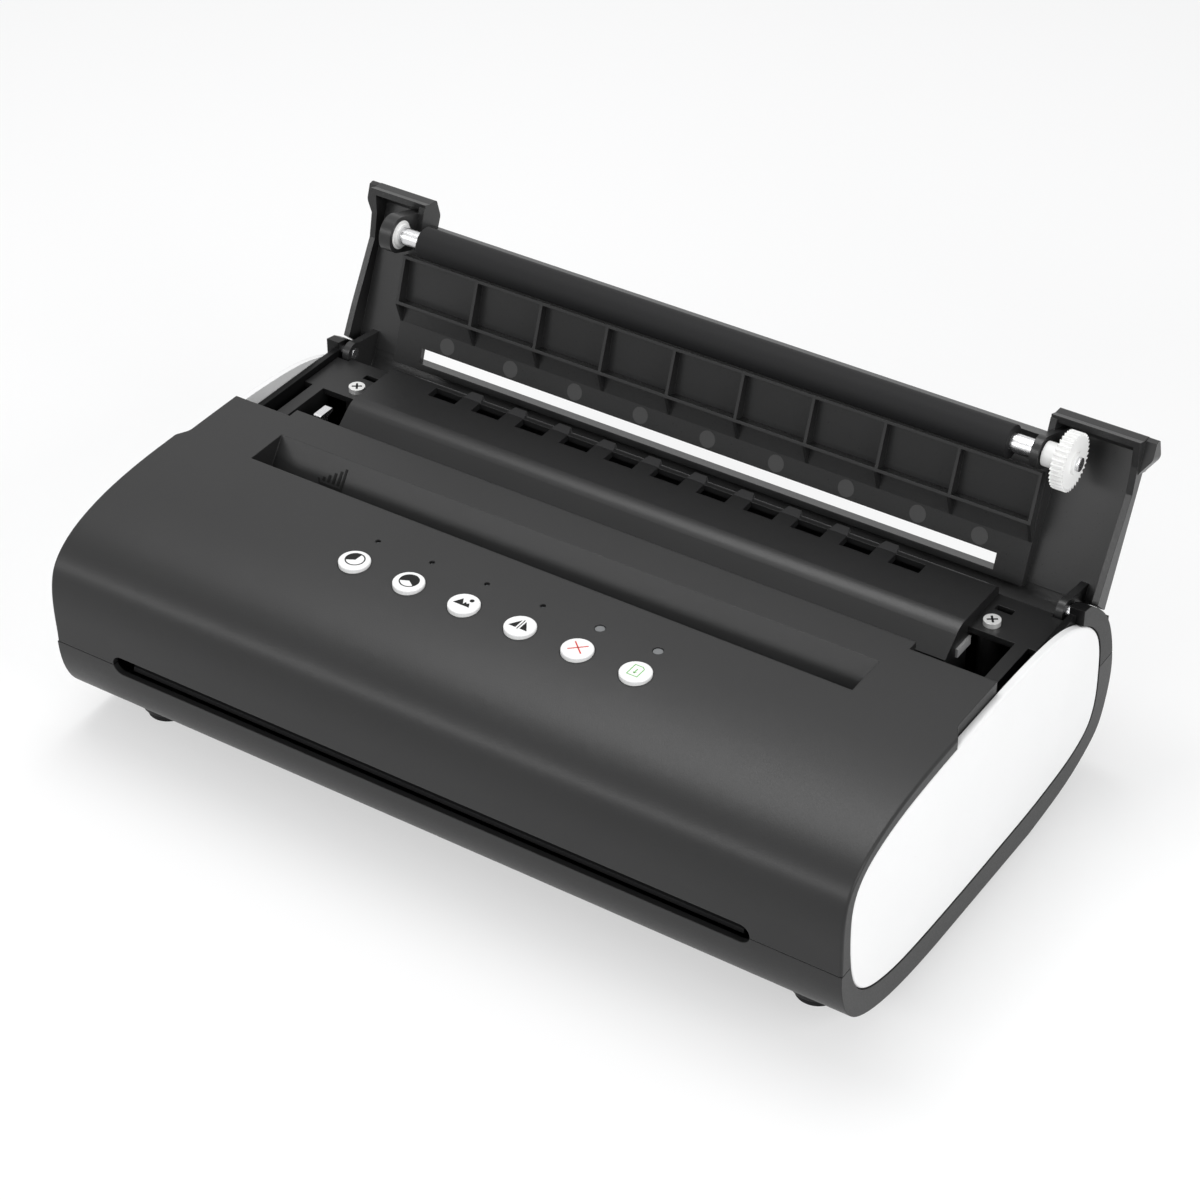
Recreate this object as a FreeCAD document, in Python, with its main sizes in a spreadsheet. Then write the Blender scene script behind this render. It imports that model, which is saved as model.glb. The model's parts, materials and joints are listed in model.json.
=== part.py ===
import FreeCAD
import Part
import math
import os
import re
from types import SimpleNamespace
from FreeCAD import Placement, Rotation, Vector

# Table-top thermal stencil copier with a hinged lid, shown with the lid standing open.
# Sizes are millimetres. X runs left to right from the middle of the body. While a piece is
# drawn, Y runs back from the front edge and Z runs up from the underside of the base; the
# finished pieces stand on their feet, with the origin under the middle of their outer box.

SIZES = {
    # body
    "body_width": 288.4, "body_depth": 172.0, "body_top": 76.6, "wall": 2.2, "seam": 0.3,
    "front_seam_height": 32.5, "rear_seam_height": 39.0, "end_round": 0.8, "overrun": 4.0,
    "cover_back": 97.0, "cover_corner_back": 92.9, "rear_wall_top": 57.0,
    "cheek_top": 70.4, "cheek_front": 145.8,
    # white side panels
    "panel_thickness": 2.6, "panel_round": 0.8, "finger_notch_front": 63.3,
    # paper path
    "paper_offset": -3.5, "inlet_width": 222.0, "inlet_front": 66.6, "inlet_back": 82.8,
    "inlet_floor": 60.0, "inlet_throat": 6.0, "output_slot_width": 235.0,
    "output_slot_height": 7.0,
    # feet and screws
    "foot_radius": 7.0, "foot_height": 3.0, "foot_spread": 123.0, "front_foot": 26.0,
    "rear_foot": 140.0, "foot_boss": 1.5,
    "screw_radius": 1.5, "screw_head_radius": 2.8, "screw_head_height": 1.8, "screw_fit": 0.05,
    "boss_radius": 4.0, "front_post": 36.0, "rear_post": 158.0, "front_post_spread": 131.0,
    "rear_post_spread": 134.0, "post_engagement": 10.0,
    # middle frame
    "hump_width": 230.0, "hump_front": 111.5, "hump_back": 146.0, "hump_top": 69.2,
    "hump_skirt": 60.0, "shelf_front": 126.0, "shelf_top": 65.5, "well_wall_inner": 131.0,
    "well_wall_thickness": 4.5, "well_wall_front": 94.0, "deck_top": 44.7, "deck_front": 93.5,
    "deck_right": 119.5, "frame_screw_spread": 120.5, "frame_screw_back": 131.0,
    "shelf_slot_back": 139.5, "shelf_slot_length": 6.0, "shelf_slot_width": 2.6,
    "strip_front": 118.4, "strip_length": 8.6,
    # comb of the stencil guide
    "comb_pitch": 17.6, "comb_window_width": 10.8, "comb_window_front": 137.2,
    "comb_window_back": 142.4, "comb_shift": 1.4, "comb_rod_radius": 1.0,
    # lid
    "hinge_back": 149.0, "hinge_height": 66.0, "lid_opening": 109.0, "lid_front": 93.4,
    "lid_top": 84.7, "lid_top_back_drop": 4.2, "barrel_radius": 14.5, "lid_wall": 2.2,
    "nose_round": 3.0, "nose_tip": 92.2, "nose_tip_height": 80.3, "nose_slope_back": 98.0,
    "nose_tip_round": 1.2, "lobe_bottom": 78.2, "lip_front": 102.1, "lip_bottom": 77.9, "ear_bottom": 73.6,
    "ear_left_inner": 121.3, "ear_right_inner": 114.3, "lobe_reach": 3.6, "lobe_length": 11.0,
    "barrel_end": -10.0, "lid_end_clearance": 5.6, "lid_round": 2.0,
    "tray_width": 237.6, "tray_front_height": 75.0, "tray_front": 111.2, "tray_knee": 135.1, "tray_knee_height": 77.0,
    "feed_slot_width": 220.8, "feed_slot_front": 142.1, "feed_slot_back": 147.6,
    "rib_thickness": 1.1, "rib_bottom": 70.0, "rib_pitch": 26.1, "rib_shift": 1.0,
    "long_rib_back": 128.5, "end_rib_reach": 120.3,
    # hinge
    "hinge_pin_radius": 2.0, "hinge_fit": 0.05, "hinge_boss_radius": 4.0, "arm_inset": 7.0,
    "arm_thickness": 2.6, "hinge_gap": 0.4,
    # platen roller in the lid
    "roller_back": 103.2, "roller_height": 64.9, "roller_radius": 5.5, "roller_left": 113.5,
    "roller_right": 107.5, "shaft_radius": 3.0, "shaft_end": 130.6, "bush_radius": 5.0,
    "ring_thickness": 2.7, "ring_radius": 5.3, "ring_bush_radius": 4.1,
    "bush_start": 122.2, "hanger_start": 123.3, "hanger_thickness": 4.6,
    "hanger_radius": 6.4, "ring_start": 115.7, "collar_start": 118.8, "collar_radius": 4.0,
    # gears
    "gear_module": 0.5, "gear_width": 4.3, "gear_start": 124.4, "platen_teeth": 36.0,
    "drive_teeth": 30.0, "idler_teeth": 36.0, "feed_teeth": 28.0, "pinion_teeth": 14.0,
    "tooth_play": 0.16, "gear_post_radius": 2.0, "gear_post_fit": 0.05,
    "gear_plate_start": 121.4, "gear_plate_thickness": 1.6,
    # feed roller and scanner
    "feed_shaft_radius": 2.5, "feed_roller_radius": 6.0, "feed_roller_half": 106.0,
    "feed_support": 118.0, "scanner_width": 216.0, "scanner_depth": 18.0,
    "scanner_height": 13.0, "glass_thickness": 1.2, "paper_gap": 0.2, "guide_thickness": 1.6,
    # print head
    "head_depth": 13.0, "head_bar_thickness": 2.0, "sink_height": 7.0, "head_half": 108.0,
    "head_gap": 0.15, "head_travel": 1.0, "head_spring_radius": 3.0, "head_spring_wire": 0.8,
    "head_spring_spread": 70.0,
    # motor and boards
    "motor_side": 26.0, "motor_length": 27.0, "motor_shaft_radius": 1.5, "board_thickness": 1.6,
    "board_standoff": 5.0, "standoff_radius": 3.0, "main_board_width": 130.0,
    "main_board_depth": 52.0, "main_board_left": -96.0, "main_board_front": 66.0,
    "power_board_width": 96.0, "power_board_depth": 30.0, "power_board_left": -100.0,
    "power_board_front": 121.0, "key_board_width": 122.0, "key_board_depth": 28.0,
    "key_board_front": 29.0, "key_board_height": 64.0,
    # buttons
    "button_radius": 5.1, "button_fit": 0.15, "button_pitch": 20.57, "button_middle": -1.6,
    "button_front": 39.6, "button_proud": 1.1, "button_flange": 1.0, "button_flange_reach": 1.0,
    "button_travel": 0.8, "key_switch_side": 6.0, "key_switch_height": 3.4,
    "indicator_front": 51.9, "small_indicator_radius": 0.8, "large_indicator_radius": 1.6,
    "indicator_fit": 0.1,
    # power entry
    "inlet_socket_left": -112.0, "inlet_socket_width": 27.0, "inlet_socket_height": 19.0,
    "switch_left": -72.0, "switch_width": 19.0, "switch_height": 13.0, "entry_bottom": 12.5,
    "entry_flange": 1.6, "entry_depth": 16.0, "rocker_angle": 12.0, "rocker_fit": 0.3,
    # lid sensor
    "sensor_lever_length": 14.0, "sensor_pivot_back": 112.0, "sensor_pivot_height": 52.0,
    "sensor_left": 120.6, "sensor_thickness": 3.0, "sensor_pin_radius": 1.0,
}

doc = FreeCAD.newDocument("StencilCopier")
sheet = doc.addObject("Spreadsheet::Sheet", "Sizes")
for row, (alias, amount) in enumerate(SIZES.items(), start=1):
    sheet.set("A%d" % row, alias)
    sheet.set("B%d" % row, str(amount))
    sheet.setAlias("B%d" % row, alias)
doc.recompute()
size = SimpleNamespace(**{alias: float(sheet.get(alias)) for alias in SIZES})

HALF_WIDTH = "body_width / 2"
half_width = size.body_width / 2
X_WAY = Vector(1, 0, 0)
Z_WAY = Vector(0, 0, 1)
subparts = []


# drawing helpers

def bind(thing, name, formula):
    """Bind one property to sheet cells; the words in the formula are cell names."""
    thing.setExpression(name, re.sub(r"[a-z_]{3,}", r"Sizes.\g<0>", formula))


def turn(point, centre, degrees):
    """A point turned round a centre, anticlockwise seen from the right-hand end."""
    angle = math.radians(degrees)
    back = point[0] - centre[0]
    up = point[1] - centre[1]
    return (centre[0] + back * math.cos(angle) - up * math.sin(angle),
            centre[1] + back * math.sin(angle) + up * math.cos(angle))


def polar(centre, radius, degrees):
    """The point at a distance and direction from a centre."""
    return turn((centre[0] + radius, centre[1]), centre, degrees)


def scaled(shares, across, up):
    """Outline points from shares of two sizes."""
    return [(share[0] * across, share[1] * up) for share in shares]


def inset(points, distance, closed=False):
    """Points moved to the left of their direction of travel."""
    moved = []
    count = len(points)
    for index, point in enumerate(points):
        before = points[(index - 1) % count] if closed or index > 0 else point
        after = points[(index + 1) % count] if closed or index < count - 1 else point
        run = math.hypot(after[0] - before[0], after[1] - before[1])
        moved.append((point[0] - (after[1] - before[1]) / run * distance,
                      point[1] + (after[0] - before[0]) / run * distance))
    return moved


def smooth(points, closed=False):
    """One smooth curve through points."""
    curve = Part.BSplineCurve()
    curve.interpolate(Points=[Vector(u, v, 0) for u, v in points], PeriodicFlag=closed)
    return curve


def line(start, end):
    return Part.LineSegment(Vector(start[0], start[1], 0), Vector(end[0], end[1], 0))


def smooth_corner(corner, before, after, radius):
    """Centre of the arc that rounds a corner."""
    here = Vector(*corner, 0)
    to_before = (Vector(*before, 0) - here).normalize()
    to_after = (Vector(*after, 0) - here).normalize()
    reach = radius / math.sin(to_before.getAngle(to_after) / 2)
    centre = here + (to_before + to_after).normalize() * reach
    return (centre.x, centre.y)


def corners(points):
    """Closed outline through corners (u, v), or (u, v, radius) where a corner is round."""
    stops = []
    count = len(points)
    for index, point in enumerate(points):
        here = Vector(point[0], point[1], 0)
        if len(point) == 2:
            stops.append((here, None, here))
            continue
        to_before = Vector(*points[index - 1][:2], 0) - here
        to_after = Vector(*points[(index + 1) % count][:2], 0) - here
        half_angle = to_before.getAngle(to_after) / 2
        to_before.normalize()
        to_after.normalize()
        reach = point[2] / math.tan(half_angle)
        bisector = (to_before + to_after).normalize()
        middle = here + bisector * (point[2] / math.sin(half_angle) - point[2])
        stops.append((here + to_before * reach, middle, here + to_after * reach))
    curves = []
    for index, (first, middle, last) in enumerate(stops):
        if middle is not None:
            curves.append(Part.Arc(first, middle, last))
        following = stops[(index + 1) % count][0]
        if last.distanceToPoint(following) > 1e-6:
            curves.append(Part.LineSegment(last, following))
    return curves


def rectangle(left, right, low, high):
    return corners([(left, low), (right, low), (right, high), (left, high)])


def circle(u, v, radius):
    return [Part.Circle(Vector(u, v, 0), Z_WAY, radius)]


def loop(*stretches):
    """Closed outline of smooth stretches (lists of points) and single points."""
    curves = []
    ends = []
    for stretch in stretches:
        if isinstance(stretch, list):
            curves.append(smooth(stretch))
            ends.append((stretch[0], stretch[-1]))
        else:
            ends.append((stretch, stretch))
    for index, (_, last) in enumerate(ends):
        following = ends[(index + 1) % len(ends)][0]
        if math.hypot(last[0] - following[0], last[1] - following[1]) > 1e-6:
            curves.append(line(last, following))
    return curves


def across(side, inner, outer):
    """Low and high X of a stretch given by its distances from the middle."""
    return (inner, outer) if side > 0 else ("-(%s)" % outer, "-(%s)" % inner)


# the frame that every piece is seated in

COVER_SHARES = ((0.564, 1.0), (0.46, 0.999), (0.37, 0.996), (0.28, 0.991), (0.22, 0.981),
                (0.165, 0.964), (0.125, 0.944), (0.087, 0.917), (0.055, 0.883), (0.029, 0.840),
                (0.011, 0.790), (0.001, 0.725), (-0.003, 0.64), (-0.002, 0.53))
cover_curve = (scaled(COVER_SHARES, size.body_depth, size.body_top)
               + [(0.0, size.front_seam_height + size.seam)])
front_reach = smooth(cover_curve[1:]).toShape().optimalBoundingBox().XMin
hinge = (size.hinge_back, size.hinge_height)
lid_slope = size.lid_top_back_drop / (size.hinge_back - size.lid_front)
nose_back = (size.nose_slope_back,
             size.lid_top - lid_slope * (size.nose_slope_back - size.lid_front))
nose = smooth_corner(nose_back, (size.nose_tip, size.nose_tip_height),
                     (hinge[0], size.lid_top - size.lid_top_back_drop), size.nose_round)
open_reach = turn(nose, hinge, -size.lid_opening)[0] + size.nose_round
setback = (open_reach + front_reach) / 2
STAND = Placement(Vector(0, -setback, size.foot_height), Rotation())
LID = (STAND * Placement(Vector(0, hinge[0], hinge[1]), Rotation(X_WAY, -size.lid_opening))
       * Placement(Vector(0, -hinge[0], -hinge[1]), Rotation()))


def seat(thing, x, y, z):
    """Seat a fixed piece by formulas for its place."""
    bind(thing, "Placement.Base.x", x)
    bind(thing, "Placement.Base.y", "(%s) - %.6f" % (y, setback))
    bind(thing, "Placement.Base.z", "(%s) + foot_height" % z)


def keep(thing, label):
    thing.Label = label
    subparts.append(thing)
    return thing


def new_body(label, frame=STAND):
    body = doc.addObject("PartDesign::Body", label)
    body.Placement = frame
    return keep(body, label)


def draw(body, plane, curves, level="0"):
    origin_plane = next(item for item in body.Origin.OriginFeatures if item.Role == plane)
    drawing = body.newObject("Sketcher::SketchObject", "Outline")
    drawing.AttachmentSupport = [(origin_plane, "")]
    drawing.MapMode = "FlatFace"
    bind(drawing, "AttachmentOffset.Base.z", level)
    drawing.addGeometry(curves, False)
    return drawing


def extrude(body, kind, plane, curves, low, high):
    """Pad or pocket between two levels along the axis square to the plane."""
    level = "-(%s)" % high if plane == "XZ_Plane" else low
    feature = body.newObject("PartDesign::" + kind, kind)
    feature.Profile = draw(body, plane, curves, level)
    bind(feature, "Length", "(%s) - (%s)" % (high, low))
    feature.Reversed = kind == "Pocket"
    return feature


def pad(body, plane, curves, low, high):
    return extrude(body, "Pad", plane, curves, low, high)


def pocket(body, plane, curves, low, high):
    return extrude(body, "Pocket", plane, curves, low, high)


def round_edges(body, feature, radius, chosen):
    """Round the edges of the last feature whose middle point is chosen."""
    doc.recompute()
    names = []
    for index, edge in enumerate(feature.Shape.Edges, start=1):
        middle = edge.valueAt((edge.FirstParameter + edge.LastParameter) / 2)
        if chosen(edge, middle):
            names.append("Edge%d" % index)
    rounding = body.newObject("PartDesign::Fillet", "Fillet")
    rounding.Base = (feature, names)
    bind(rounding, "Radius", radius)
    return rounding


def turned(label, profile, frame):
    """A piece turned about the X axis of its frame, from (x, radius) corners."""
    body = new_body(label, frame)
    revolution = body.newObject("PartDesign::Revolution", "Revolution")
    drawing = draw(body, "XY_Plane", corners(profile))
    revolution.Profile = drawing
    revolution.ReferenceAxis = (drawing, ["H_Axis"])
    revolution.Angle = 360
    return body


def tube(label, low, high, outer, inner, frame):
    return turned(label, [(low, inner), (high, inner), (high, outer), (low, outer)], frame)


def cylinder(radius, height, x, y, z, direction=Z_WAY):
    rod = doc.addObject("Part::Cylinder", "Cylinder")
    rod.Placement = Placement(Vector(), Rotation(Z_WAY, direction))
    bind(rod, "Radius", radius)
    bind(rod, "Height", height)
    seat(rod, x, y, z)
    return rod


def block(length, width, height, x, y, z):
    box = doc.addObject("Part::Box", "Box")
    bind(box, "Length", length)
    bind(box, "Width", width)
    bind(box, "Height", height)
    seat(box, x, y, z)
    return box


def fused(pieces):
    whole = doc.addObject("Part::MultiFuse", "Fusion")
    whole.Shapes = pieces
    return whole


def cut(base, tools):
    rest = doc.addObject("Part::Cut", "Cut")
    rest.Base = base
    rest.Tool = tools[0] if len(tools) == 1 else fused(tools)
    return rest


def group(label, pieces):
    """Several like solids kept as one sub-part."""
    several = doc.addObject("Part::Compound", "Group")
    several.Links = pieces
    return keep(several, label)


# outlines of the body, as shares of its depth and height

BASE_FRONT_SHARES = ((0.0, 1.0), (0.004, 0.80), (0.0128, 0.625), (0.029, 0.458),
                     (0.054, 0.32), (0.09, 0.21), (0.137, 0.123), (0.192, 0.062),
                     (0.267, 0.018), (0.35, 0.0))
BASE_REAR_SHARES = ((0.70, 0.0), (0.79, 0.04), (0.865, 0.103), (0.922, 0.195),
                    (0.966, 0.321), (0.9885, 0.523), (1.0, 0.76), (0.9955, 1.0))
REAR_CURVE_SHARES = ((0.9955, 0.513), (0.984, 0.61), (0.960, 0.724), (0.915, 0.84),
                     (0.872, 0.91))
PANEL_SHARES = ((0.084, 0.227), (0.0465, 0.328), (0.0300, 0.462), (0.0244, 0.612),
                (0.0262, 0.70), (0.0390, 0.778), (0.0663, 0.837), (0.1105, 0.880),
                (0.1657, 0.909), (0.259, 0.932), (0.366, 0.943), (0.481, 0.945),
                (0.599, 0.944), (0.686, 0.933), (0.745, 0.917), (0.80, 0.887),
                (0.849, 0.840), (0.893, 0.772), (0.920, 0.70), (0.935, 0.62),
                (0.942, 0.51), (0.944, 0.405), (0.938, 0.305), (0.921, 0.236),
                (0.89, 0.192), (0.84, 0.160), (0.769, 0.140), (0.694, 0.129),
                (0.576, 0.125), (0.4645, 0.1235), (0.349, 0.1266), (0.255, 0.134),
                (0.180, 0.152), (0.126, 0.182))

base_front = scaled(BASE_FRONT_SHARES, size.body_depth, size.front_seam_height)
base_rear = scaled(BASE_REAR_SHARES, size.body_depth, size.rear_seam_height)
rear_curve = scaled(REAR_CURVE_SHARES, size.body_depth, size.body_top)
panel_outline = scaled(PANEL_SHARES, size.body_depth, size.body_top)
panel_seat = smooth(inset(panel_outline, size.seam, closed=True), closed=True)
c0 = size.paper_offset
SIDE_INNER = "body_width / 2 - panel_thickness - seam"
side_inner = half_width - size.panel_thickness - size.seam
inner_reach = "body_width / 2 - panel_thickness - seam - wall"
NEAR_SKIN = "body_top - wall * 1.5"


def seam_height(back):
    """Height of the seam between the base and the upper shells."""
    rise = size.rear_seam_height - size.front_seam_height
    return size.front_seam_height + rise * back / size.body_depth


def curve_height(points, back):
    """Height of a smooth outline at a distance from the front."""
    upright = line((back, -size.body_top), (back, size.body_top * 1.5))
    return smooth(points).intersectCC(upright)[0].Y


def slot_outline():
    """The output slot, with round ends, seen from the front."""
    end = size.output_slot_height / 2
    left = c0 - size.output_slot_width / 2
    right = c0 + size.output_slot_width / 2
    low = size.front_seam_height - end * 0.8
    high = low + size.output_slot_height
    nearly = end * 0.999
    return corners([(left, low, nearly), (right, low, nearly),
                    (right, high, nearly), (left, high, nearly)])


def cut_panel_seats(body):
    for side in (1, -1):
        low, high = across(side, SIDE_INNER, HALF_WIDTH + " + overrun")
        pocket(body, "YZ_Plane", [panel_seat], low, high)


def cut_output_slot(body):
    pocket(body, "XZ_Plane", slot_outline(), "-overrun", "wall + overrun")


POSTS = [(side * spread, back) for side in (-1, 1)
         for spread, back in ((size.front_post_spread, size.front_post),
                              (size.rear_post_spread, size.rear_post))]
BOARD_FEET_SHARES = ((0.06, 0.12), (0.94, 0.12), (0.06, 0.88), (0.94, 0.88))


def board_feet(left, front, width, depth):
    return [(left + across_share * width, front + along_share * depth)
            for across_share, along_share in BOARD_FEET_SHARES]


def make_base_shell():
    body = new_body("base_shell")
    outer = loop(base_front, base_rear)
    pad(body, "YZ_Plane", outer, "-" + HALF_WIDTH, HALF_WIDTH)
    front_inside = inset(base_front, size.wall)
    rear_inside = inset(base_rear, size.wall)
    front_top = (front_inside[0][0], size.body_top)
    rear_top = (rear_inside[-1][0], size.body_top)
    inside = loop(front_top, front_inside, rear_inside, rear_top)
    pocket(body, "YZ_Plane", inside, "-(%s)" % inner_reach, inner_reach)
    cut_panel_seats(body)
    cut_output_slot(body)
    for side in (1, -1):
        for back in (size.front_foot, size.rear_foot):
            boss = circle(side * size.foot_spread, back, size.foot_radius + size.foot_boss)
            pad(body, "XY_Plane", boss, "0", "front_seam_height / 4")
    for x, back in POSTS:
        top = "%.6f - seam" % seam_height(back)
        pad(body, "XY_Plane", circle(x, back, size.boss_radius), "wall / 2", top)
        pocket(body, "XY_Plane", circle(x, back, size.screw_radius + size.screw_fit),
               "-overrun", top + " + overrun")
        pocket(body, "XY_Plane", circle(x, back, size.screw_head_radius + size.screw_fit),
               "-overrun", "wall + screw_head_height * 3")
    for side in (1, -1):
        x = side * size.frame_screw_spread
        pad(body, "XY_Plane", circle(x, size.frame_screw_back, size.boss_radius),
            "wall / 2", "shelf_top - wall")
        pocket(body, "XY_Plane",
               circle(x, size.frame_screw_back, size.screw_radius + size.screw_fit),
               "shelf_top - wall - post_engagement", "shelf_top")
    for left, front, width, depth in (
            (size.main_board_left, size.main_board_front, size.main_board_width,
             size.main_board_depth),
            (size.power_board_left, size.power_board_front, size.power_board_width,
             size.power_board_depth)):
        for x, back in board_feet(left, front, width, depth):
            pad(body, "XY_Plane", circle(x, back, size.standoff_radius),
                "wall / 2", "wall + board_standoff")
    yoke = corners([(feed_axis[0] - size.feed_roller_radius, size.wall / 2),
                    (feed_axis[0] + size.feed_roller_radius, size.wall / 2),
                    (feed_axis[0] + size.feed_roller_radius, feed_axis[1] + size.boss_radius),
                    (feed_axis[0] - size.feed_roller_radius, feed_axis[1] + size.boss_radius)])
    for side in (1, -1):
        low, high = across(side, "feed_support - wall", "feed_support")
        pad(body, "YZ_Plane", yoke, low, high)
        pocket(body, "YZ_Plane",
               circle(feed_axis[0], feed_axis[1], size.feed_shaft_radius + size.hinge_fit),
               low, high)
    for left, width, height in (
            (size.inlet_socket_left, size.inlet_socket_width, size.inlet_socket_height),
            (size.switch_left, size.switch_width, size.switch_height)):
        hole = rectangle(left, left + width, size.entry_bottom, size.entry_bottom + height)
        pocket(body, "XZ_Plane", hole, "body_depth - entry_depth", "body_depth + overrun")
    return body


def make_side_panels():
    for side, label in ((-1, "left_side_panel"), (1, "right_side_panel")):
        body = new_body(label)
        low, high = across(side, SIDE_INNER + " + seam", HALF_WIDTH)
        sheet_pad = pad(body, "YZ_Plane", [smooth(panel_outline, closed=True)], low, high)

        def outer_edge(edge, middle):
            return abs(abs(middle.x) - half_width) < size.seam / 2

        round_edges(body, sheet_pad, "panel_round", outer_edge)


def button_places():
    return [size.button_middle + (index - 2.5) * size.button_pitch for index in range(6)]


def indicator_radius(index):
    return size.small_indicator_radius if index < 4 else size.large_indicator_radius


def make_front_cover():
    body = new_body("front_cover")
    back_foot = (size.cover_back, seam_height(size.cover_back) + size.seam)
    curve = [(size.cover_back, size.body_top)] + cover_curve[1:]
    whole = pad(body, "YZ_Plane", loop(back_foot, curve), "-" + HALF_WIDTH, HALF_WIDTH)
    skin_level = size.front_seam_height + size.overrun

    def end_edge(edge, middle):
        return abs(abs(middle.x) - half_width) < size.seam / 2 and middle.z > skin_level \
            and middle.y < size.cover_back - size.overrun / 2

    round_edges(body, whole, "end_round", end_edge)
    inside = inset(curve, size.wall)
    under = size.front_seam_height - size.overrun
    cavity = loop((size.cover_back + size.overrun, under),
                  (size.cover_back + size.overrun, inside[0][1]), inside,
                  (inside[-1][0], under))
    pocket(body, "YZ_Plane", cavity, "-(%s)" % inner_reach, inner_reach)
    lip = size.wall
    funnel = corners([(size.inlet_front - lip, size.inlet_floor),
                      (size.inlet_back + lip, size.inlet_floor),
                      (size.inlet_back + lip, size.body_top - lip / 2),
                      (size.inlet_front - lip, size.body_top - lip / 2)])
    pad(body, "YZ_Plane", funnel, "paper_offset - inlet_width / 2 - wall",
        "paper_offset + inlet_width / 2 + wall")
    throat = size.inlet_throat
    mouth = corners([(size.inlet_front, size.body_top + size.overrun),
                     (size.inlet_front, size.inlet_floor - size.overrun),
                     (size.inlet_front + throat, size.inlet_floor - size.overrun),
                     (size.inlet_front + throat, size.inlet_floor + lip),
                     (size.inlet_back, size.body_top), (size.inlet_back, size.body_top
                                                        + size.overrun)])
    pocket(body, "YZ_Plane", mouth, "paper_offset - inlet_width / 2",
           "paper_offset + inlet_width / 2")
    cut_panel_seats(body)
    cut_output_slot(body)
    high = size.body_depth
    for side, step in ((-1, size.ear_left_inner - lip), (1, size.ear_right_inner - lip)):
        corner = rectangle(min(side * step, side * high), max(side * step, side * high),
                           size.cover_corner_back, high)
        pocket(body, "XY_Plane", corner, "front_seam_height", "body_top + overrun")
        inner = side * side_inner
        outer = side * (half_width + size.overrun)
        slope = size.finger_notch_front + size.panel_thickness * 2
        notch = corners([(outer, size.finger_notch_front), (outer, high), (inner, high),
                         (inner, slope, size.panel_thickness * 2),
                         (side * half_width, size.finger_notch_front)])
        pocket(body, "XY_Plane", notch, "body_top / 2", "body_top + overrun")
    for index, x in enumerate(button_places()):
        pocket(body, "XY_Plane",
               circle(x, size.button_front, size.button_radius + size.button_fit),
               "key_board_height", "body_top + overrun")
        pocket(body, "XY_Plane",
               circle(x, size.indicator_front, indicator_radius(index) + size.indicator_fit),
               "key_board_height", "body_top + overrun")
    for x, back in POSTS:
        if back == size.front_post:
            low = "%.6f + seam" % seam_height(back)
            pad(body, "XY_Plane", circle(x, back, size.boss_radius), low, NEAR_SKIN)
            pocket(body, "XY_Plane", circle(x, back, size.screw_radius + size.screw_fit),
                   low, low + " + post_engagement")
    for x in (-key_board_reach, key_board_reach):
        for back, high in (
                (size.key_board_front + size.standoff_radius, NEAR_SKIN),
                (size.key_board_front + size.key_board_depth - size.standoff_radius,
                 "body_top - wall")):
            pad(body, "XY_Plane", circle(x + size.button_middle, back, size.standoff_radius),
                "key_board_height + board_thickness", high)
    return body


def make_rear_housing():
    body = new_body("rear_housing")
    front = size.cover_back + size.seam
    seam_back = (rear_curve[0][0], size.rear_seam_height + size.seam)
    curve = [seam_back] + rear_curve[1:]
    wall_inside = inset(curve, size.wall)
    wall_end = (curve[2][0], size.rear_wall_top)
    top_inside = (wall_inside[2][0], size.rear_wall_top)
    inner_foot = (seam_back[0] - size.wall, seam_back[1])
    band = loop(curve[:3], wall_end, top_inside, wall_inside[2], wall_inside[1], inner_foot)
    pad(body, "YZ_Plane", band, "-" + HALF_WIDTH, HALF_WIDTH)
    side_top = size.shelf_top + size.wall
    cheek = loop((front, seam_height(front) + size.seam), curve,
                 (size.cheek_front, size.cheek_top), (size.cheek_front, side_top),
                 (front, side_top))
    for side in (1, -1):
        low, high = across(side, SIDE_INNER + " - wall", HALF_WIDTH)
        pad(body, "YZ_Plane", cheek, low, high)
    cut_panel_seats(body)
    for side in (1, -1):
        beyond = rectangle(min(side * side_inner, side * size.body_width),
                           max(side * side_inner, side * size.body_width), 0,
                           size.cheek_front)
        pocket(body, "XY_Plane", beyond, "body_top / 2", "body_top + overrun")
        low, high = across(side, SIDE_INNER + " - wall - overrun", SIDE_INNER)
        pocket(body, "YZ_Plane",
               circle(hinge[0], hinge[1], size.hinge_pin_radius + size.hinge_fit / 2),
               low, high)
    for x, back in POSTS:
        if back == size.rear_post:
            low = "%.6f + seam" % seam_height(back)
            pad(body, "XY_Plane", circle(x, back, size.boss_radius), low,
                low + " + post_engagement + wall")
            pocket(body, "XY_Plane", circle(x, back, size.screw_radius + size.screw_fit),
                   low, low + " + post_engagement")
            bridge = rectangle(min(x, math.copysign(side_inner - size.wall / 2, x)),
                               max(x, math.copysign(side_inner - size.wall / 2, x)),
                               back - size.wall / 2, back + size.wall / 2)
            pad(body, "XY_Plane", bridge, low + " + post_engagement",
                low + " + post_engagement + wall")
    return body


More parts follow.
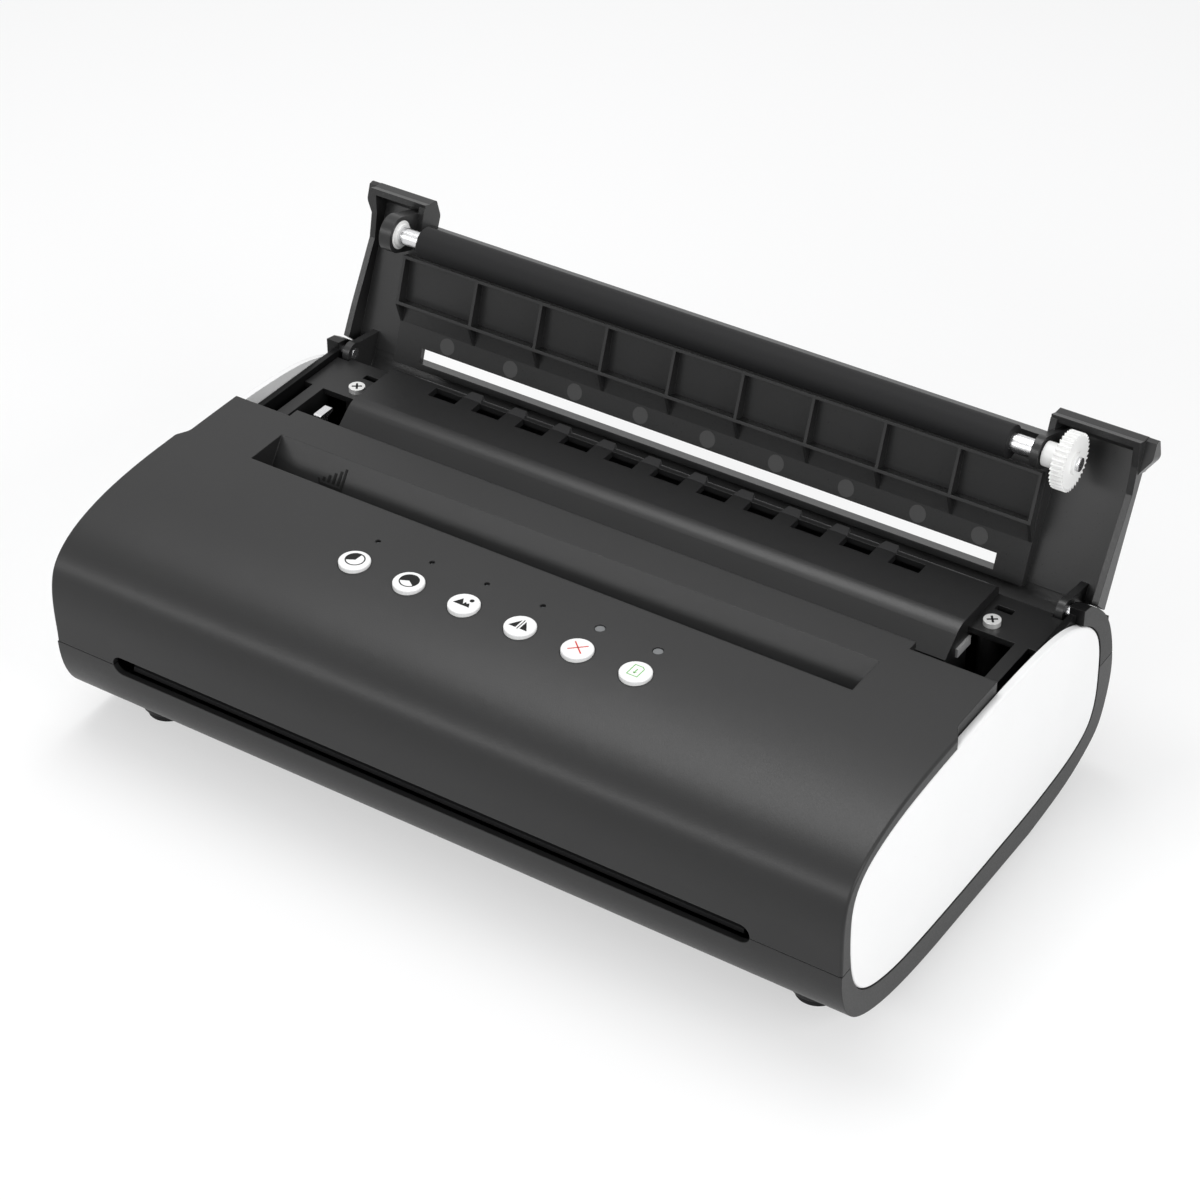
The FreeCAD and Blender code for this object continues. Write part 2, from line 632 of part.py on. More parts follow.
def make_middle_frame():
    body = new_body("middle_frame")
    foot = size.hump_front
    top = size.hump_top
    rise = top - size.inlet_floor
    hump = corners([(foot, size.deck_top - size.wall), (foot, size.inlet_floor + rise / 6),
                    (foot + rise, top, rise), (size.hump_back, top, size.wall),
                    (size.hump_back, size.hump_skirt), (size.hump_back - size.wall,
                                                        size.hump_skirt),
                    (size.hump_back - size.wall, top - size.wall),
                    (foot + rise + size.wall / 2, top - size.wall, rise - size.wall),
                    (foot + size.wall, size.inlet_floor + rise / 6),
                    (foot + size.wall, size.deck_top - size.wall)])
    pad(body, "YZ_Plane", hump, "-hump_width / 2", "hump_width / 2")
    end_wall = corners([(foot, size.deck_top - size.wall), (foot, size.inlet_floor + rise / 6),
                        (foot + rise, top, rise), (size.hump_back, top, size.wall),
                        (size.hump_back, size.hump_skirt),
                        (size.shelf_front, size.hump_skirt), (size.shelf_front,
                                                              size.deck_top - size.wall)])
    for side in (1, -1):
        low, high = across(side, "hump_width / 2 - wall", "hump_width / 2")
        pad(body, "YZ_Plane", end_wall, low, high)
    deck = rectangle(size.deck_front, foot + size.wall, size.deck_top - size.wall,
                     size.deck_top)
    pad(body, "YZ_Plane", deck, "-well_wall_inner", "deck_right")
    arm_start = half_width - size.arm_inset - size.arm_thickness
    for side in (1, -1):
        inner = side * (size.hump_width / 2 - size.wall)
        outer = side * (side_inner - size.wall - size.seam)
        wide = side * (arm_start - size.hinge_gap)
        shelf = corners([(inner, size.shelf_front), (outer, size.shelf_front),
                         (outer, hinge[0] - size.hinge_boss_radius - size.seam * 2),
                         (wide, hinge[0] - size.hinge_boss_radius - size.seam * 2),
                         (wide, size.hump_back), (inner, size.hump_back)])
        pad(body, "XY_Plane", shelf, "shelf_top - wall", "shelf_top")
        well_wall = rectangle(size.well_wall_front, size.shelf_front + size.wall,
                              size.deck_top - size.wall, size.shelf_top)
        low, high = across(side, "well_wall_inner", "well_wall_inner + well_wall_thickness")
        pad(body, "YZ_Plane", well_wall, low, high)
        pocket(body, "XY_Plane",
               circle(side * size.frame_screw_spread, size.frame_screw_back,
                      size.screw_radius + size.screw_fit), "hump_skirt", "shelf_top + overrun")
        slot_middle = side * size.frame_screw_spread
        shelf_slot = rectangle(slot_middle - size.shelf_slot_length / 2,
                               slot_middle + size.shelf_slot_length / 2,
                               size.shelf_slot_back - size.shelf_slot_width / 2,
                               size.shelf_slot_back + size.shelf_slot_width / 2)
        pocket(body, "XY_Plane", shelf_slot, "hump_skirt", "shelf_top + overrun")
    for index in range(-5, 6):
        middle = c0 + size.comb_shift + index * size.comb_pitch
        window = corners([(middle - size.comb_window_width / 2, size.comb_window_front),
                          (middle + size.comb_window_width / 2, size.comb_window_front),
                          (middle + size.comb_window_width / 2, size.comb_window_back),
                          (middle - size.comb_window_width / 2, size.comb_window_back)])
        pocket(body, "XY_Plane", window, "hump_skirt + wall", "hump_top + overrun")
    return body


# the lid is drawn closed and seated open

def lid_line(back):
    """Height of the closed lid's flat top."""
    return size.lid_top - lid_slope * (back - size.lid_front)


def lid_skin(thickness):
    """Barrel end of the skin, at a depth under its outer face."""
    radius = size.barrel_radius - thickness
    return [polar(hinge, radius, angle) for angle in (92.0, 66.0, 40.0, 15.0,
                                                      size.barrel_end)]


def make_lid_shell():
    body = new_body("lid_shell", LID)
    thick = size.lid_wall
    wide = "body_width / 2 + lobe_reach"
    whole = corners([
        (size.lid_front, size.ear_bottom), (size.lip_front, size.ear_bottom + thick * 1.4),
        (size.tray_front, size.lip_bottom), (size.tray_knee, size.tray_knee_height - thick * 1.7),
        (hinge[0] - size.nose_round, size.cheek_top + size.seam * 4),
        (hinge[0] - size.nose_round / 2, size.tray_knee_height - thick),
        (hinge[0], hinge[1] + size.barrel_radius - thick - size.seam),
        (hinge[0], lid_line(hinge[0])), (nose_back[0], nose_back[1], size.nose_round),
        (size.nose_tip, size.nose_tip_height, size.nose_tip_round),
        (size.lid_front, size.body_top)])
    pad(body, "YZ_Plane", whole, "-" + HALF_WIDTH, HALF_WIDTH)
    lobe_back = size.lid_front + size.lobe_length
    lobes = corners([
        (size.lid_front, size.lobe_bottom), (lobe_back, size.lobe_bottom),
        (lobe_back, lid_line(lobe_back)), (nose_back[0], nose_back[1], size.nose_round),
        (size.nose_tip, size.nose_tip_height, size.nose_tip_round)])
    pad(body, "YZ_Plane", lobes, "-(%s)" % wide, wide)
    for side in (1, -1):
        edge = side * half_width
        tip = side * (half_width + size.lobe_reach)
        beyond = side * (half_width + size.lobe_reach + size.overrun)
        waste = corners([
            (tip, size.lid_front - size.overrun), (tip, lobe_back - size.lobe_length * 0.5,
                                                   size.lobe_reach),
            (edge, lobe_back, size.lobe_reach), (edge, size.body_depth),
            (beyond, size.body_depth), (beyond, size.lid_front - size.overrun)])
        shell = pocket(body, "XY_Plane", waste, "0", "lid_top + overrun")

    def top_edge(edge, middle):
        return abs(abs(middle.x) - half_width) < size.seam / 2 \
            and middle.z > lid_line(middle.y) - size.seam and edge.Length > size.lobe_length

    round_edges(body, shell, "lid_round", top_edge)
    hollow = corners([
        (size.lid_front + thick, 0), (size.lid_front + thick, size.nose_tip_height - thick / 4),
        (nose_back[0] + thick / 3, lid_line(nose_back[0] + thick / 3) - thick),
        (hinge[0] + size.overrun, lid_line(hinge[0] + size.overrun) - thick),
        (hinge[0] + size.overrun, 0)])
    pocket(body, "YZ_Plane", hollow, "-(%s - lid_wall)" % HALF_WIDTH, HALF_WIDTH + " - lid_wall")
    barrel = loop(lid_skin(0), list(reversed(lid_skin(thick))))
    pad(body, "YZ_Plane", barrel, "-(%s - lid_end_clearance)" % HALF_WIDTH,
        HALF_WIDTH + " - lid_end_clearance")
    gap = rectangle(-size.ear_left_inner, size.ear_right_inner, size.lid_front
                    - size.overrun, size.lip_front)
    pocket(body, "XY_Plane", gap, "0", "lid_top + overrun")
    lip = rectangle(size.lip_front, size.lip_front + thick, size.lip_bottom,
                    size.lid_top - thick / 2)
    pad(body, "YZ_Plane", lip, "-ear_left_inner", "ear_right_inner")
    ear = corners([(size.lid_front + thick / 2, size.ear_bottom),
                   (size.lip_front + thick, size.ear_bottom),
                   (size.lip_front + thick, size.lid_top - thick), (nose_back[0], size.lid_top
                                                                    - thick),
                   (size.lid_front + thick / 2, size.nose_tip_height)])
    pad(body, "YZ_Plane", ear, "-ear_left_inner - lid_wall", "-ear_left_inner")
    pad(body, "YZ_Plane", ear, "ear_right_inner", "ear_right_inner + lid_wall")
    tray_low = size.tray_knee_height - thick
    tray_end = size.feed_slot_back + thick
    tray_start = size.tray_front - thick
    tray = corners([(tray_start, lid_line(tray_start) - thick / 2),
                    (tray_start, size.tray_front_height - thick),
                    (size.tray_knee, tray_low), (tray_end, tray_low),
                    (tray_end, lid_line(tray_end) - thick / 2)])
    pad(body, "YZ_Plane", tray, "paper_offset - tray_width / 2 - lid_wall",
        "paper_offset + tray_width / 2 + lid_wall")
    bowl = corners([(size.tray_front, size.lid_top + size.overrun),
                    (size.tray_front, size.tray_front_height),
                    (size.tray_knee, size.tray_knee_height),
                    (size.feed_slot_back, size.tray_knee_height),
                    (size.feed_slot_back, size.lid_top + size.overrun)])
    pocket(body, "YZ_Plane", bowl, "paper_offset - tray_width / 2",
           "paper_offset + tray_width / 2")
    slot = rectangle(c0 - size.feed_slot_width / 2, c0 + size.feed_slot_width / 2,
                     size.feed_slot_front, size.feed_slot_back)
    pocket(body, "XY_Plane", slot, "rib_bottom", "lid_top + overrun")
    rib = corners([(size.tray_front, size.rib_bottom), (size.long_rib_back, size.rib_bottom),
                   (size.tray_knee, tray_low), (size.tray_knee, tray_low + thick / 2),
                   (size.tray_front, size.tray_front_height - thick / 2)])
    for index in range(8):
        start = "paper_offset + rib_shift + (%.1f) * rib_pitch - rib_thickness / 2" \
            % (index - 3.5)
        pad(body, "YZ_Plane", rib, start, start + " + rib_thickness")
    for side in (1, -1):
        start = "paper_offset + (%d) * end_rib_reach - rib_thickness / 2" % side
        pad(body, "YZ_Plane", rib, start, start + " + rib_thickness")
    for back in (size.tray_front, size.long_rib_back - size.rib_thickness):
        long_rib = rectangle(back, back + size.rib_thickness, size.rib_bottom,
                             size.tray_front_height - thick / 2)
        pad(body, "YZ_Plane", long_rib, "paper_offset - end_rib_reach - rib_thickness / 2",
            "paper_offset + end_rib_reach + rib_thickness / 2")
    roller = (size.roller_back, size.roller_height)
    for low, high, reach, bush in (
            ("-hanger_start - hanger_thickness", "-hanger_start", size.hanger_radius,
             size.bush_radius),
            ("ring_start", "ring_start + ring_thickness", size.ring_radius,
             size.ring_bush_radius)):
        hanger = corners([(roller[0] - reach, lid_line(roller[0]) - thick / 2),
                          (roller[0] - reach, roller[1] - reach, reach * 0.95),
                          (roller[0] + reach, roller[1] - reach, reach * 0.95),
                          (roller[0] + reach, lid_line(roller[0]) - thick)])
        pad(body, "YZ_Plane", hanger, low, high)
        pocket(body, "YZ_Plane", circle(roller[0], roller[1], bush + size.hinge_fit),
               low, high)
    boss = size.hinge_boss_radius
    arm = corners([(hinge[0] - boss * 1.6, lid_line(hinge[0]) - thick / 2),
                   (hinge[0] - boss, hinge[1] + boss / 2),
                   (hinge[0] - boss, hinge[1] - boss, boss * 0.95),
                   (hinge[0] + boss, hinge[1] - boss, boss * 0.95),
                   (hinge[0] + boss, hinge[1] + boss / 2),
                   polar(hinge, size.barrel_radius - thick / 2, 52.0),
                   polar(hinge, size.barrel_radius - thick / 2, 80.0)])
    for side in (1, -1):
        low, high = across(side, HALF_WIDTH + " - arm_inset - arm_thickness",
                           HALF_WIDTH + " - arm_inset")
        pad(body, "YZ_Plane", arm, low, high)
        pocket(body, "YZ_Plane",
               circle(hinge[0], hinge[1], size.hinge_pin_radius + size.hinge_fit), low, high)
    return body


def make_hinge_pins():
    """Two steel pins held by the body's side walls, for the lid's two arms."""
    length = "arm_inset - panel_thickness - seam + arm_thickness"
    pins = []
    for x in (SIDE_INNER + " - (%s)" % length, "-(%s)" % SIDE_INNER):
        pins.append(cylinder("hinge_pin_radius", length, x, "hinge_back", "hinge_height",
                             X_WAY))
    group("hinge_pins", pins)


# gears

def gear_centre(centre, teeth, other_teeth, degrees):
    distance = (teeth + other_teeth) * size.gear_module / 2
    return polar(centre, distance, degrees)


def meshing_phase(phase, teeth, other_teeth, degrees):
    """Phase of a gear that meshes with one whose tooth stands at the given phase."""
    return (degrees + 180 - (phase - degrees) * teeth / other_teeth + 180 / other_teeth)


ROLLER_AXIS = (size.roller_back, size.roller_height)
DRIVE_DIRECTION = -104.0
IDLER_DIRECTION = -150.0
SECOND_IDLER_DIRECTION = -168.0
FEED_DIRECTION = -170.0
PINION_DIRECTION = -70.0
drive_axis = gear_centre(ROLLER_AXIS, size.platen_teeth, size.drive_teeth, DRIVE_DIRECTION)
idler_axis = gear_centre(drive_axis, size.drive_teeth, size.idler_teeth, IDLER_DIRECTION)
second_axis = gear_centre(idler_axis, size.idler_teeth, size.idler_teeth,
                          SECOND_IDLER_DIRECTION)
feed_axis = gear_centre(second_axis, size.idler_teeth, size.feed_teeth, FEED_DIRECTION)
pinion_axis = gear_centre(idler_axis, size.idler_teeth, size.pinion_teeth, PINION_DIRECTION)
platen_phase = 0.0
drive_phase = meshing_phase(platen_phase, size.platen_teeth, size.drive_teeth,
                            DRIVE_DIRECTION)
idler_phase = meshing_phase(drive_phase, size.drive_teeth, size.idler_teeth, IDLER_DIRECTION)
second_phase = meshing_phase(idler_phase, size.idler_teeth, size.idler_teeth,
                             SECOND_IDLER_DIRECTION)
feed_phase = meshing_phase(second_phase, size.idler_teeth, size.feed_teeth, FEED_DIRECTION)
pinion_phase = meshing_phase(idler_phase, size.idler_teeth, size.pinion_teeth,
                             PINION_DIRECTION)
TOOTH_TIP_SHARE = 0.9
TOOTH_ROOT_SHARE = 1.2
FLANK_SHARE = 0.34
key_board_reach = size.key_board_width / 2 - size.standoff_radius


def gear_outline(teeth, phase):
    """Straight-flanked teeth round a gear's root circle."""
    pitch_radius = teeth * size.gear_module / 2
    tip = pitch_radius + TOOTH_TIP_SHARE * size.gear_module
    root = pitch_radius - TOOTH_ROOT_SHARE * size.gear_module
    thickness = math.pi * size.gear_module / 2 - size.tooth_play
    tip_half = thickness / 2 - FLANK_SHARE * TOOTH_TIP_SHARE * size.gear_module
    root_half = thickness / 2 + FLANK_SHARE * TOOTH_ROOT_SHARE * size.gear_module
    points = []
    for tooth in range(int(teeth)):
        middle = math.radians(phase + 360.0 * tooth / teeth)
        for radius, half in ((root, -root_half), (tip, -tip_half), (tip, tip_half),
                             (root, root_half)):
            angle = middle + half / radius
            points.append((radius * math.cos(angle), radius * math.sin(angle)))
    return corners(points)


def make_gear(label, teeth, phase, frame, bore, hub, low, high):
    body = new_body(label, frame)
    pad(body, "YZ_Plane", gear_outline(teeth, phase), low, high)
    pad(body, "YZ_Plane", circle(0, 0, hub), high, high + " + guide_thickness / 2")
    pocket(body, "YZ_Plane", circle(0, 0, bore), low, high + " + overrun")
    return body


def at(axis, frame=STAND):
    return frame * Placement(Vector(0, axis[0], axis[1]), Rotation())


GEAR_LOW = "gear_start"
GEAR_HIGH = "gear_start + gear_width"


def make_platen_roller():
    frame = at(ROLLER_AXIS, LID)
    radius = size.shaft_radius
    step = radius * 0.75
    gear_low = size.gear_start
    turned("platen_shaft",
           [(-size.hanger_start - size.hanger_thickness, 0), (size.shaft_end, 0),
            (size.shaft_end, step), (gear_low - size.seam, step), (gear_low - size.seam, radius),
            (-size.hanger_start - size.hanger_thickness, radius)], frame)
    tube("platen_rubber", -size.roller_left, size.roller_right, size.roller_radius,
         size.shaft_radius + size.hinge_fit / 5, frame)
    make_gear("platen_gear", size.platen_teeth, platen_phase, frame,
              step + size.hinge_fit / 5, size.shaft_radius * 1.2, GEAR_LOW, GEAR_HIGH)
    tube("platen_collar", size.collar_start, gear_low - size.seam, size.collar_radius,
         size.shaft_radius + size.hinge_fit / 5, frame)
    turned("left_platen_bush",
           [(-size.hanger_start - size.hanger_thickness, radius + size.hinge_fit),
            (-size.bush_start, radius + size.hinge_fit), (-size.bush_start,
                                                          size.collar_radius),
            (-size.hanger_start + size.hinge_fit, size.collar_radius),
            (-size.hanger_start + size.hinge_fit, size.bush_radius),
            (-size.hanger_start - size.hanger_thickness, size.bush_radius)], frame)
    turned("right_platen_bush",
           [(size.ring_start - size.seam, radius + size.hinge_fit),
            (size.ring_start + size.ring_thickness, radius + size.hinge_fit),
            (size.ring_start + size.ring_thickness, size.ring_bush_radius),
            (size.ring_start - size.seam, size.ring_bush_radius)], frame)


def make_feed_roller():
    frame = at(feed_axis)
    radius = size.feed_shaft_radius
    gear_low = size.gear_start
    step = radius * 0.8
    turned("feed_shaft",
           [(-size.feed_support - size.wall, 0), (gear_low + size.gear_width, 0),
            (gear_low + size.gear_width, step), (gear_low - size.seam, step),
            (gear_low - size.seam, radius), (-size.feed_support - size.wall, radius)], frame)
    tube("feed_rubber", c0 - size.feed_roller_half, c0 + size.feed_roller_half,
         size.feed_roller_radius, radius + size.hinge_fit / 5, frame)
    make_gear("feed_gear", size.feed_teeth, feed_phase, frame, step + size.hinge_fit / 5,
              radius * 1.2, GEAR_LOW, GEAR_HIGH)


def make_gear_train():
    for label, teeth, phase, axis in (
            ("platen_drive_gear", size.drive_teeth, drive_phase, drive_axis),
            ("front_idler_gear", size.idler_teeth, second_phase, second_axis),
            ("rear_idler_gear", size.idler_teeth, idler_phase, idler_axis)):
        make_gear(label, teeth, phase, at(axis), size.gear_post_radius + size.gear_post_fit,
                  size.gear_post_radius * 1.8, GEAR_LOW, GEAR_HIGH)
    make_gear("motor_pinion", size.pinion_teeth, pinion_phase, at(pinion_axis),
              size.motor_shaft_radius + size.hinge_fit / 5, size.motor_shaft_radius * 1.7,
              GEAR_LOW, GEAR_HIGH)
    plate = new_body("gear_plate")
    margin = size.boss_radius + size.wall
    outline = corners([
        (feed_axis[0] - margin, feed_axis[1] - margin, margin),
        (feed_axis[0], size.wall * 1.5), (pinion_axis[0] + size.motor_side / 2, size.wall * 1.5),
        (pinion_axis[0] + size.motor_side / 2, pinion_axis[1]),
        (drive_axis[0] + margin, drive_axis[1] + margin, margin),
        (drive_axis[0] - margin, drive_axis[1] + margin, margin),
        (feed_axis[0] - margin, feed_axis[1] + margin, margin)])
    low = "gear_plate_start"
    high = "gear_plate_start + gear_plate_thickness"
    pad(plate, "YZ_Plane", outline, low, high)
    for axis, radius in ((feed_axis, size.feed_shaft_radius + size.gear_post_fit),
                         (pinion_axis, size.motor_shaft_radius * 2),
                         (drive_axis, size.gear_post_radius), (idler_axis,
                                                               size.gear_post_radius),
                         (second_axis, size.gear_post_radius)):
        pocket(plate, "YZ_Plane", circle(axis[0], axis[1], radius), low, high)
    posts = []
    for axis in (drive_axis, idler_axis, second_axis):
        posts.append(cylinder("gear_post_radius",
                              "gear_start - gear_plate_start + gear_width + guide_thickness",
                              low, "%.6f" % axis[0], "%.6f" % axis[1], X_WAY))
    group("gear_posts", posts)
    shaft = cylinder("motor_shaft_radius", "gear_start - gear_plate_start + gear_width",
                     "gear_plate_start", "%.6f" % pinion_axis[0], "%.6f" % pinion_axis[1],
                     X_WAY)
    keep(shaft, "motor_shaft")
    keep(block("motor_length", "motor_side", "motor_side",
               "gear_plate_start - motor_length", "%.6f - motor_side / 2" % pinion_axis[0],
               "%.6f - motor_side / 2" % pinion_axis[1]), "feed_motor")


def make_scanner_and_guides():
    scan_low = feed_axis[1] + size.feed_roller_radius + size.paper_gap
    scan_front = feed_axis[0] - size.scanner_depth / 2
    left = "paper_offset - scanner_width / 2"
    keep(block("scanner_width - wall * 2", "scanner_depth - wall * 2", "glass_thickness",
               left + " + wall", "%.6f + wall" % scan_front, "%.6f" % scan_low),
         "scanner_glass")
    housing = cut(block("scanner_width", "scanner_depth", "scanner_height", left,
                        "%.6f" % scan_front, "%.6f" % scan_low),
                  [block("scanner_width - wall * 2", "scanner_depth - wall * 2",
                         "glass_thickness + overrun", left + " + wall",
                         "%.6f + wall" % scan_front, "%.6f - overrun" % scan_low)])
    keep(housing, "scanner_bar")
    thick = size.guide_thickness
    near = feed_axis[0] - size.feed_roller_radius - size.seam * 2
    far = feed_axis[0] + size.feed_roller_radius + size.seam * 2
    path = scan_low - size.paper_gap - size.seam
    lip = size.front_seam_height - size.output_slot_height / 4
    floor = curve_height(inset(base_front, size.wall), near - thick * 4)
    front_guide = new_body("front_paper_guide")
    outline = corners([(size.wall * 2, lip), (near, path), (near, path - thick),
                       (near - thick * 3, path - thick * 2), (near - thick * 3, floor),
                       (near - thick * 4, floor), (near - thick * 4, path - thick * 2),
                       (size.wall * 2, lip - thick)])
    pad(front_guide, "YZ_Plane", outline, "paper_offset - output_slot_width / 2 + wall * 2",
        "paper_offset + output_slot_width / 2 - wall * 2")
    rear_guide = new_body("rear_paper_guide")
    outline = corners([(far, path), (far, path - thick), (far + thick * 3, path - thick),
                       (far + thick * 3, size.wall), (far + thick * 4, size.wall),
                       (far + thick * 4, path - thick), (size.inlet_front + size.inlet_throat
                                                         + thick, size.inlet_floor - size.seam),
                       (size.inlet_front + size.inlet_throat, size.inlet_floor - size.seam),
                       (far + thick * 2, path)])
    pad(rear_guide, "YZ_Plane", outline, "paper_offset - scanner_width / 2",
        "paper_offset + scanner_width / 2")


def make_print_head():
    top = size.roller_height - size.roller_radius - size.head_gap
    front = "%.6f - head_depth / 2" % size.roller_back
    bar_low = "%.6f - head_bar_thickness" % top
    keep(block("head_half * 2", "head_depth", "head_bar_thickness", "paper_offset - head_half",
               front, bar_low), "print_head")
    sink_low = bar_low + " - sink_height"
    sink = block("head_half * 2", "head_depth", "sink_height", "paper_offset - head_half",
                 front, sink_low)
    grooves = []
    for share in (0.25, 0.5, 0.75):
        grooves.append(block("head_half * 2 + overrun * 2", "head_spring_wire * 2",
                             "sink_height / 2 + overrun", "paper_offset - head_half - overrun",
                             front + " + head_depth * %.2f - head_spring_wire" % share,
                             sink_low + " - overrun"))
    keep(cut(sink, grooves), "heat_sink")
    springs = []
    for index in (-1, 0, 1):
        x = "paper_offset + (%d) * head_spring_spread" % index
        height = "%.6f - head_bar_thickness - sink_height - deck_top" % top
        springs.append(cut(
            cylinder("head_spring_radius", height, x, "%.6f" % size.roller_back, "deck_top"),
            [cylinder("head_spring_radius - head_spring_wire", height + " + overrun", x,
                      "%.6f" % size.roller_back, "deck_top - overrun / 2")]))
    group("head_springs", springs)


def make_boards():
    keep(block("main_board_width", "main_board_depth", "board_thickness", "main_board_left",
               "main_board_front", "wall + board_standoff"), "main_board")
    keep(block("power_board_width", "power_board_depth", "board_thickness",
               "power_board_left", "power_board_front", "wall + board_standoff"),
         "power_board")
    on_board = "wall + board_standoff + board_thickness"
    keep(block("inlet_socket_width", "power_board_depth / 2", "motor_side / 2",
               "power_board_left + wall * 4", "power_board_front + wall", on_board),
         "transformer")
    keep(cylinder("motor_side / 4", "motor_side * 0.8",
                  "power_board_left + power_board_width / 2",
                  "power_board_front + power_board_depth / 2", on_board), "smoothing_capacitor")
    board = new_body("key_board")
    left = size.button_middle - size.key_board_width / 2
    pad(board, "XY_Plane",
        rectangle(left, left + size.key_board_width, size.key_board_front,
                  size.key_board_front + size.key_board_depth),
        "key_board_height", "key_board_height + board_thickness")
    switches = []
    for x in button_places():
        switches.append(block("key_switch_side", "key_switch_side", "key_switch_height",
                              "%.6f - key_switch_side / 2" % x,
                              "button_front - key_switch_side / 2",
                              "key_board_height + board_thickness"))
    group("key_switches", switches)


BUTTON_NAMES = ("light_copy_button", "dark_copy_button", "photo_button", "mirror_button",
                "stop_button", "start_button")


def make_buttons():
    surface = curve_height(cover_curve, size.button_front)
    switch_top = size.key_board_height + size.board_thickness + size.key_switch_height
    low = switch_top + size.button_travel + size.seam / 2
    flange_top = low + size.button_flange
    top = surface + size.button_proud
    for label, x in zip(BUTTON_NAMES, button_places()):
        body = new_body(label, STAND * Placement(Vector(x, size.button_front, 0), Rotation()))
        revolution = body.newObject("PartDesign::Revolution", "Revolution")
        flange = size.button_radius + size.button_flange_reach
        dome = size.button_proud / 2
        drawing = draw(body, "XZ_Plane", corners([
            (0, low), (flange, low), (flange, flange_top), (size.button_radius, flange_top),
            (size.button_radius, top, dome), (0, top)]))
        revolution.Profile = drawing
        revolution.ReferenceAxis = (drawing, ["V_Axis"])
        revolution.Angle = 360
    board_top = "key_board_height + board_thickness"
    lenses = []
    for index, x in enumerate(button_places()):
        radius = "small_indicator_radius" if index < 4 else "large_indicator_radius"
        sink = " - wall * 0.4" if index < 4 else " - seam"
        height = "%.6f - (%s)%s" % (curve_height(cover_curve, size.indicator_front),
                                    board_top, sink)
        lenses.append(cylinder(radius, height, "%.6f" % x, "indicator_front", board_top))
    group("indicator_lenses", lenses)


def make_power_entry():
    depth = size.body_depth
    low = "entry_bottom + rocker_fit"
    for label, left, width, height in (
            ("power_inlet", "inlet_socket_left", "inlet_socket_width", "inlet_socket_height"),
            ("power_switch_frame", "switch_left", "switch_width", "switch_height")):
        wide = "%s - rocker_fit * 2" % width
        high = "%s - rocker_fit * 2" % height
        box = block(wide, "entry_depth", high, left + " + rocker_fit",
                    "body_depth - entry_depth + entry_flange", low)
        inner = block(wide + " - entry_flange * 2", "entry_depth", high + " - entry_flange * 2",
                      left + " + rocker_fit + entry_flange",
                      "body_depth - entry_depth + entry_flange * 4", low + " + entry_flange")
        if label == "power_inlet":
            hollow = cut(box, [inner])
            prongs = []
            for index in (-1, 0, 1):
                prongs.append(block("entry_flange", "entry_depth - entry_flange * 4",
                                    "entry_flange * 2",
                                    left + " + %s / 2 + (%d) * entry_flange * 4"
                                    " - entry_flange / 2" % (width, index),
                                    "body_depth - entry_depth + entry_flange * 3",
                                    "entry_bottom + %s / 2 - entry_flange" % height))
            keep(fused([hollow] + prongs), label)
        else:
            keep(cut(box, [inner]), label)
    rocker_wide = size.switch_width - (size.rocker_fit + size.entry_flange) * 2 \
        - size.rocker_fit * 2
    middle = size.switch_left + size.switch_width / 2
    reach = (size.switch_height - (size.rocker_fit + size.entry_flange) * 2) / 2 \
        - size.rocker_fit * 2
    pivot = (depth, size.entry_bottom + size.switch_height / 2)
    body = new_body("power_switch_rocker", at(pivot))
    outline = corners([(-reach * 0.6, -reach * 0.8), (size.entry_flange * 0.8, -reach * 0.8),
                       (size.entry_flange * 2.2, reach * 0.8), (-reach * 0.6, reach * 0.8)])
    pad(body, "YZ_Plane", outline, "%.6f" % (middle - rocker_wide / 2),
        "%.6f" % (middle + rocker_wide / 2))


def make_lid_sensor():
    """A sprung lever that the lid's rib presses when the lid shuts, with its switch."""
    pivot = (size.sensor_pivot_back, size.sensor_pivot_height)
    body = new_body("lid_sensor_lever", at(pivot))
    eye = size.sensor_pin_radius * 2.4
    reach = size.sensor_lever_length
    outline = corners([(-eye, -eye, eye * 0.9), (eye, -eye, eye * 0.9), (eye, reach - eye),
                       (eye * 4.4, reach, eye / 3), (-eye / 2, reach, eye / 3),
                       (-eye, reach - eye * 2)])
    low = "-sensor_left - sensor_thickness"
    pad(body, "YZ_Plane", outline, low, "-sensor_left")
    pocket(body, "YZ_Plane", circle(0, 0, size.sensor_pin_radius + size.hinge_fit), low,
           "-sensor_left")
    keep(cylinder("sensor_pin_radius", "well_wall_inner - sensor_left + wall / 2",
                  "-well_wall_inner", "sensor_pivot_back", "sensor_pivot_height", X_WAY),
         "lid_sensor_pin")
    keep(block("sensor_thickness * 2", "sensor_lever_length", "sensor_thickness * 2",
               "-sensor_left - sensor_thickness * 2",
               "sensor_pivot_back - sensor_lever_length * 1.2",
               "deck_top"), "lid_sensor_switch")


def screw(x, y, low, length, up):
    """A pan-head screw; up is 1 where its head is on top."""
    if up > 0:
        head_low = "%s + %s" % (low, length)
    else:
        head_low = "%s - screw_head_height" % low
    return fused([cylinder("screw_radius", length, x, y, low),
                  cylinder("screw_head_radius", "screw_head_height", x, y, head_low)])


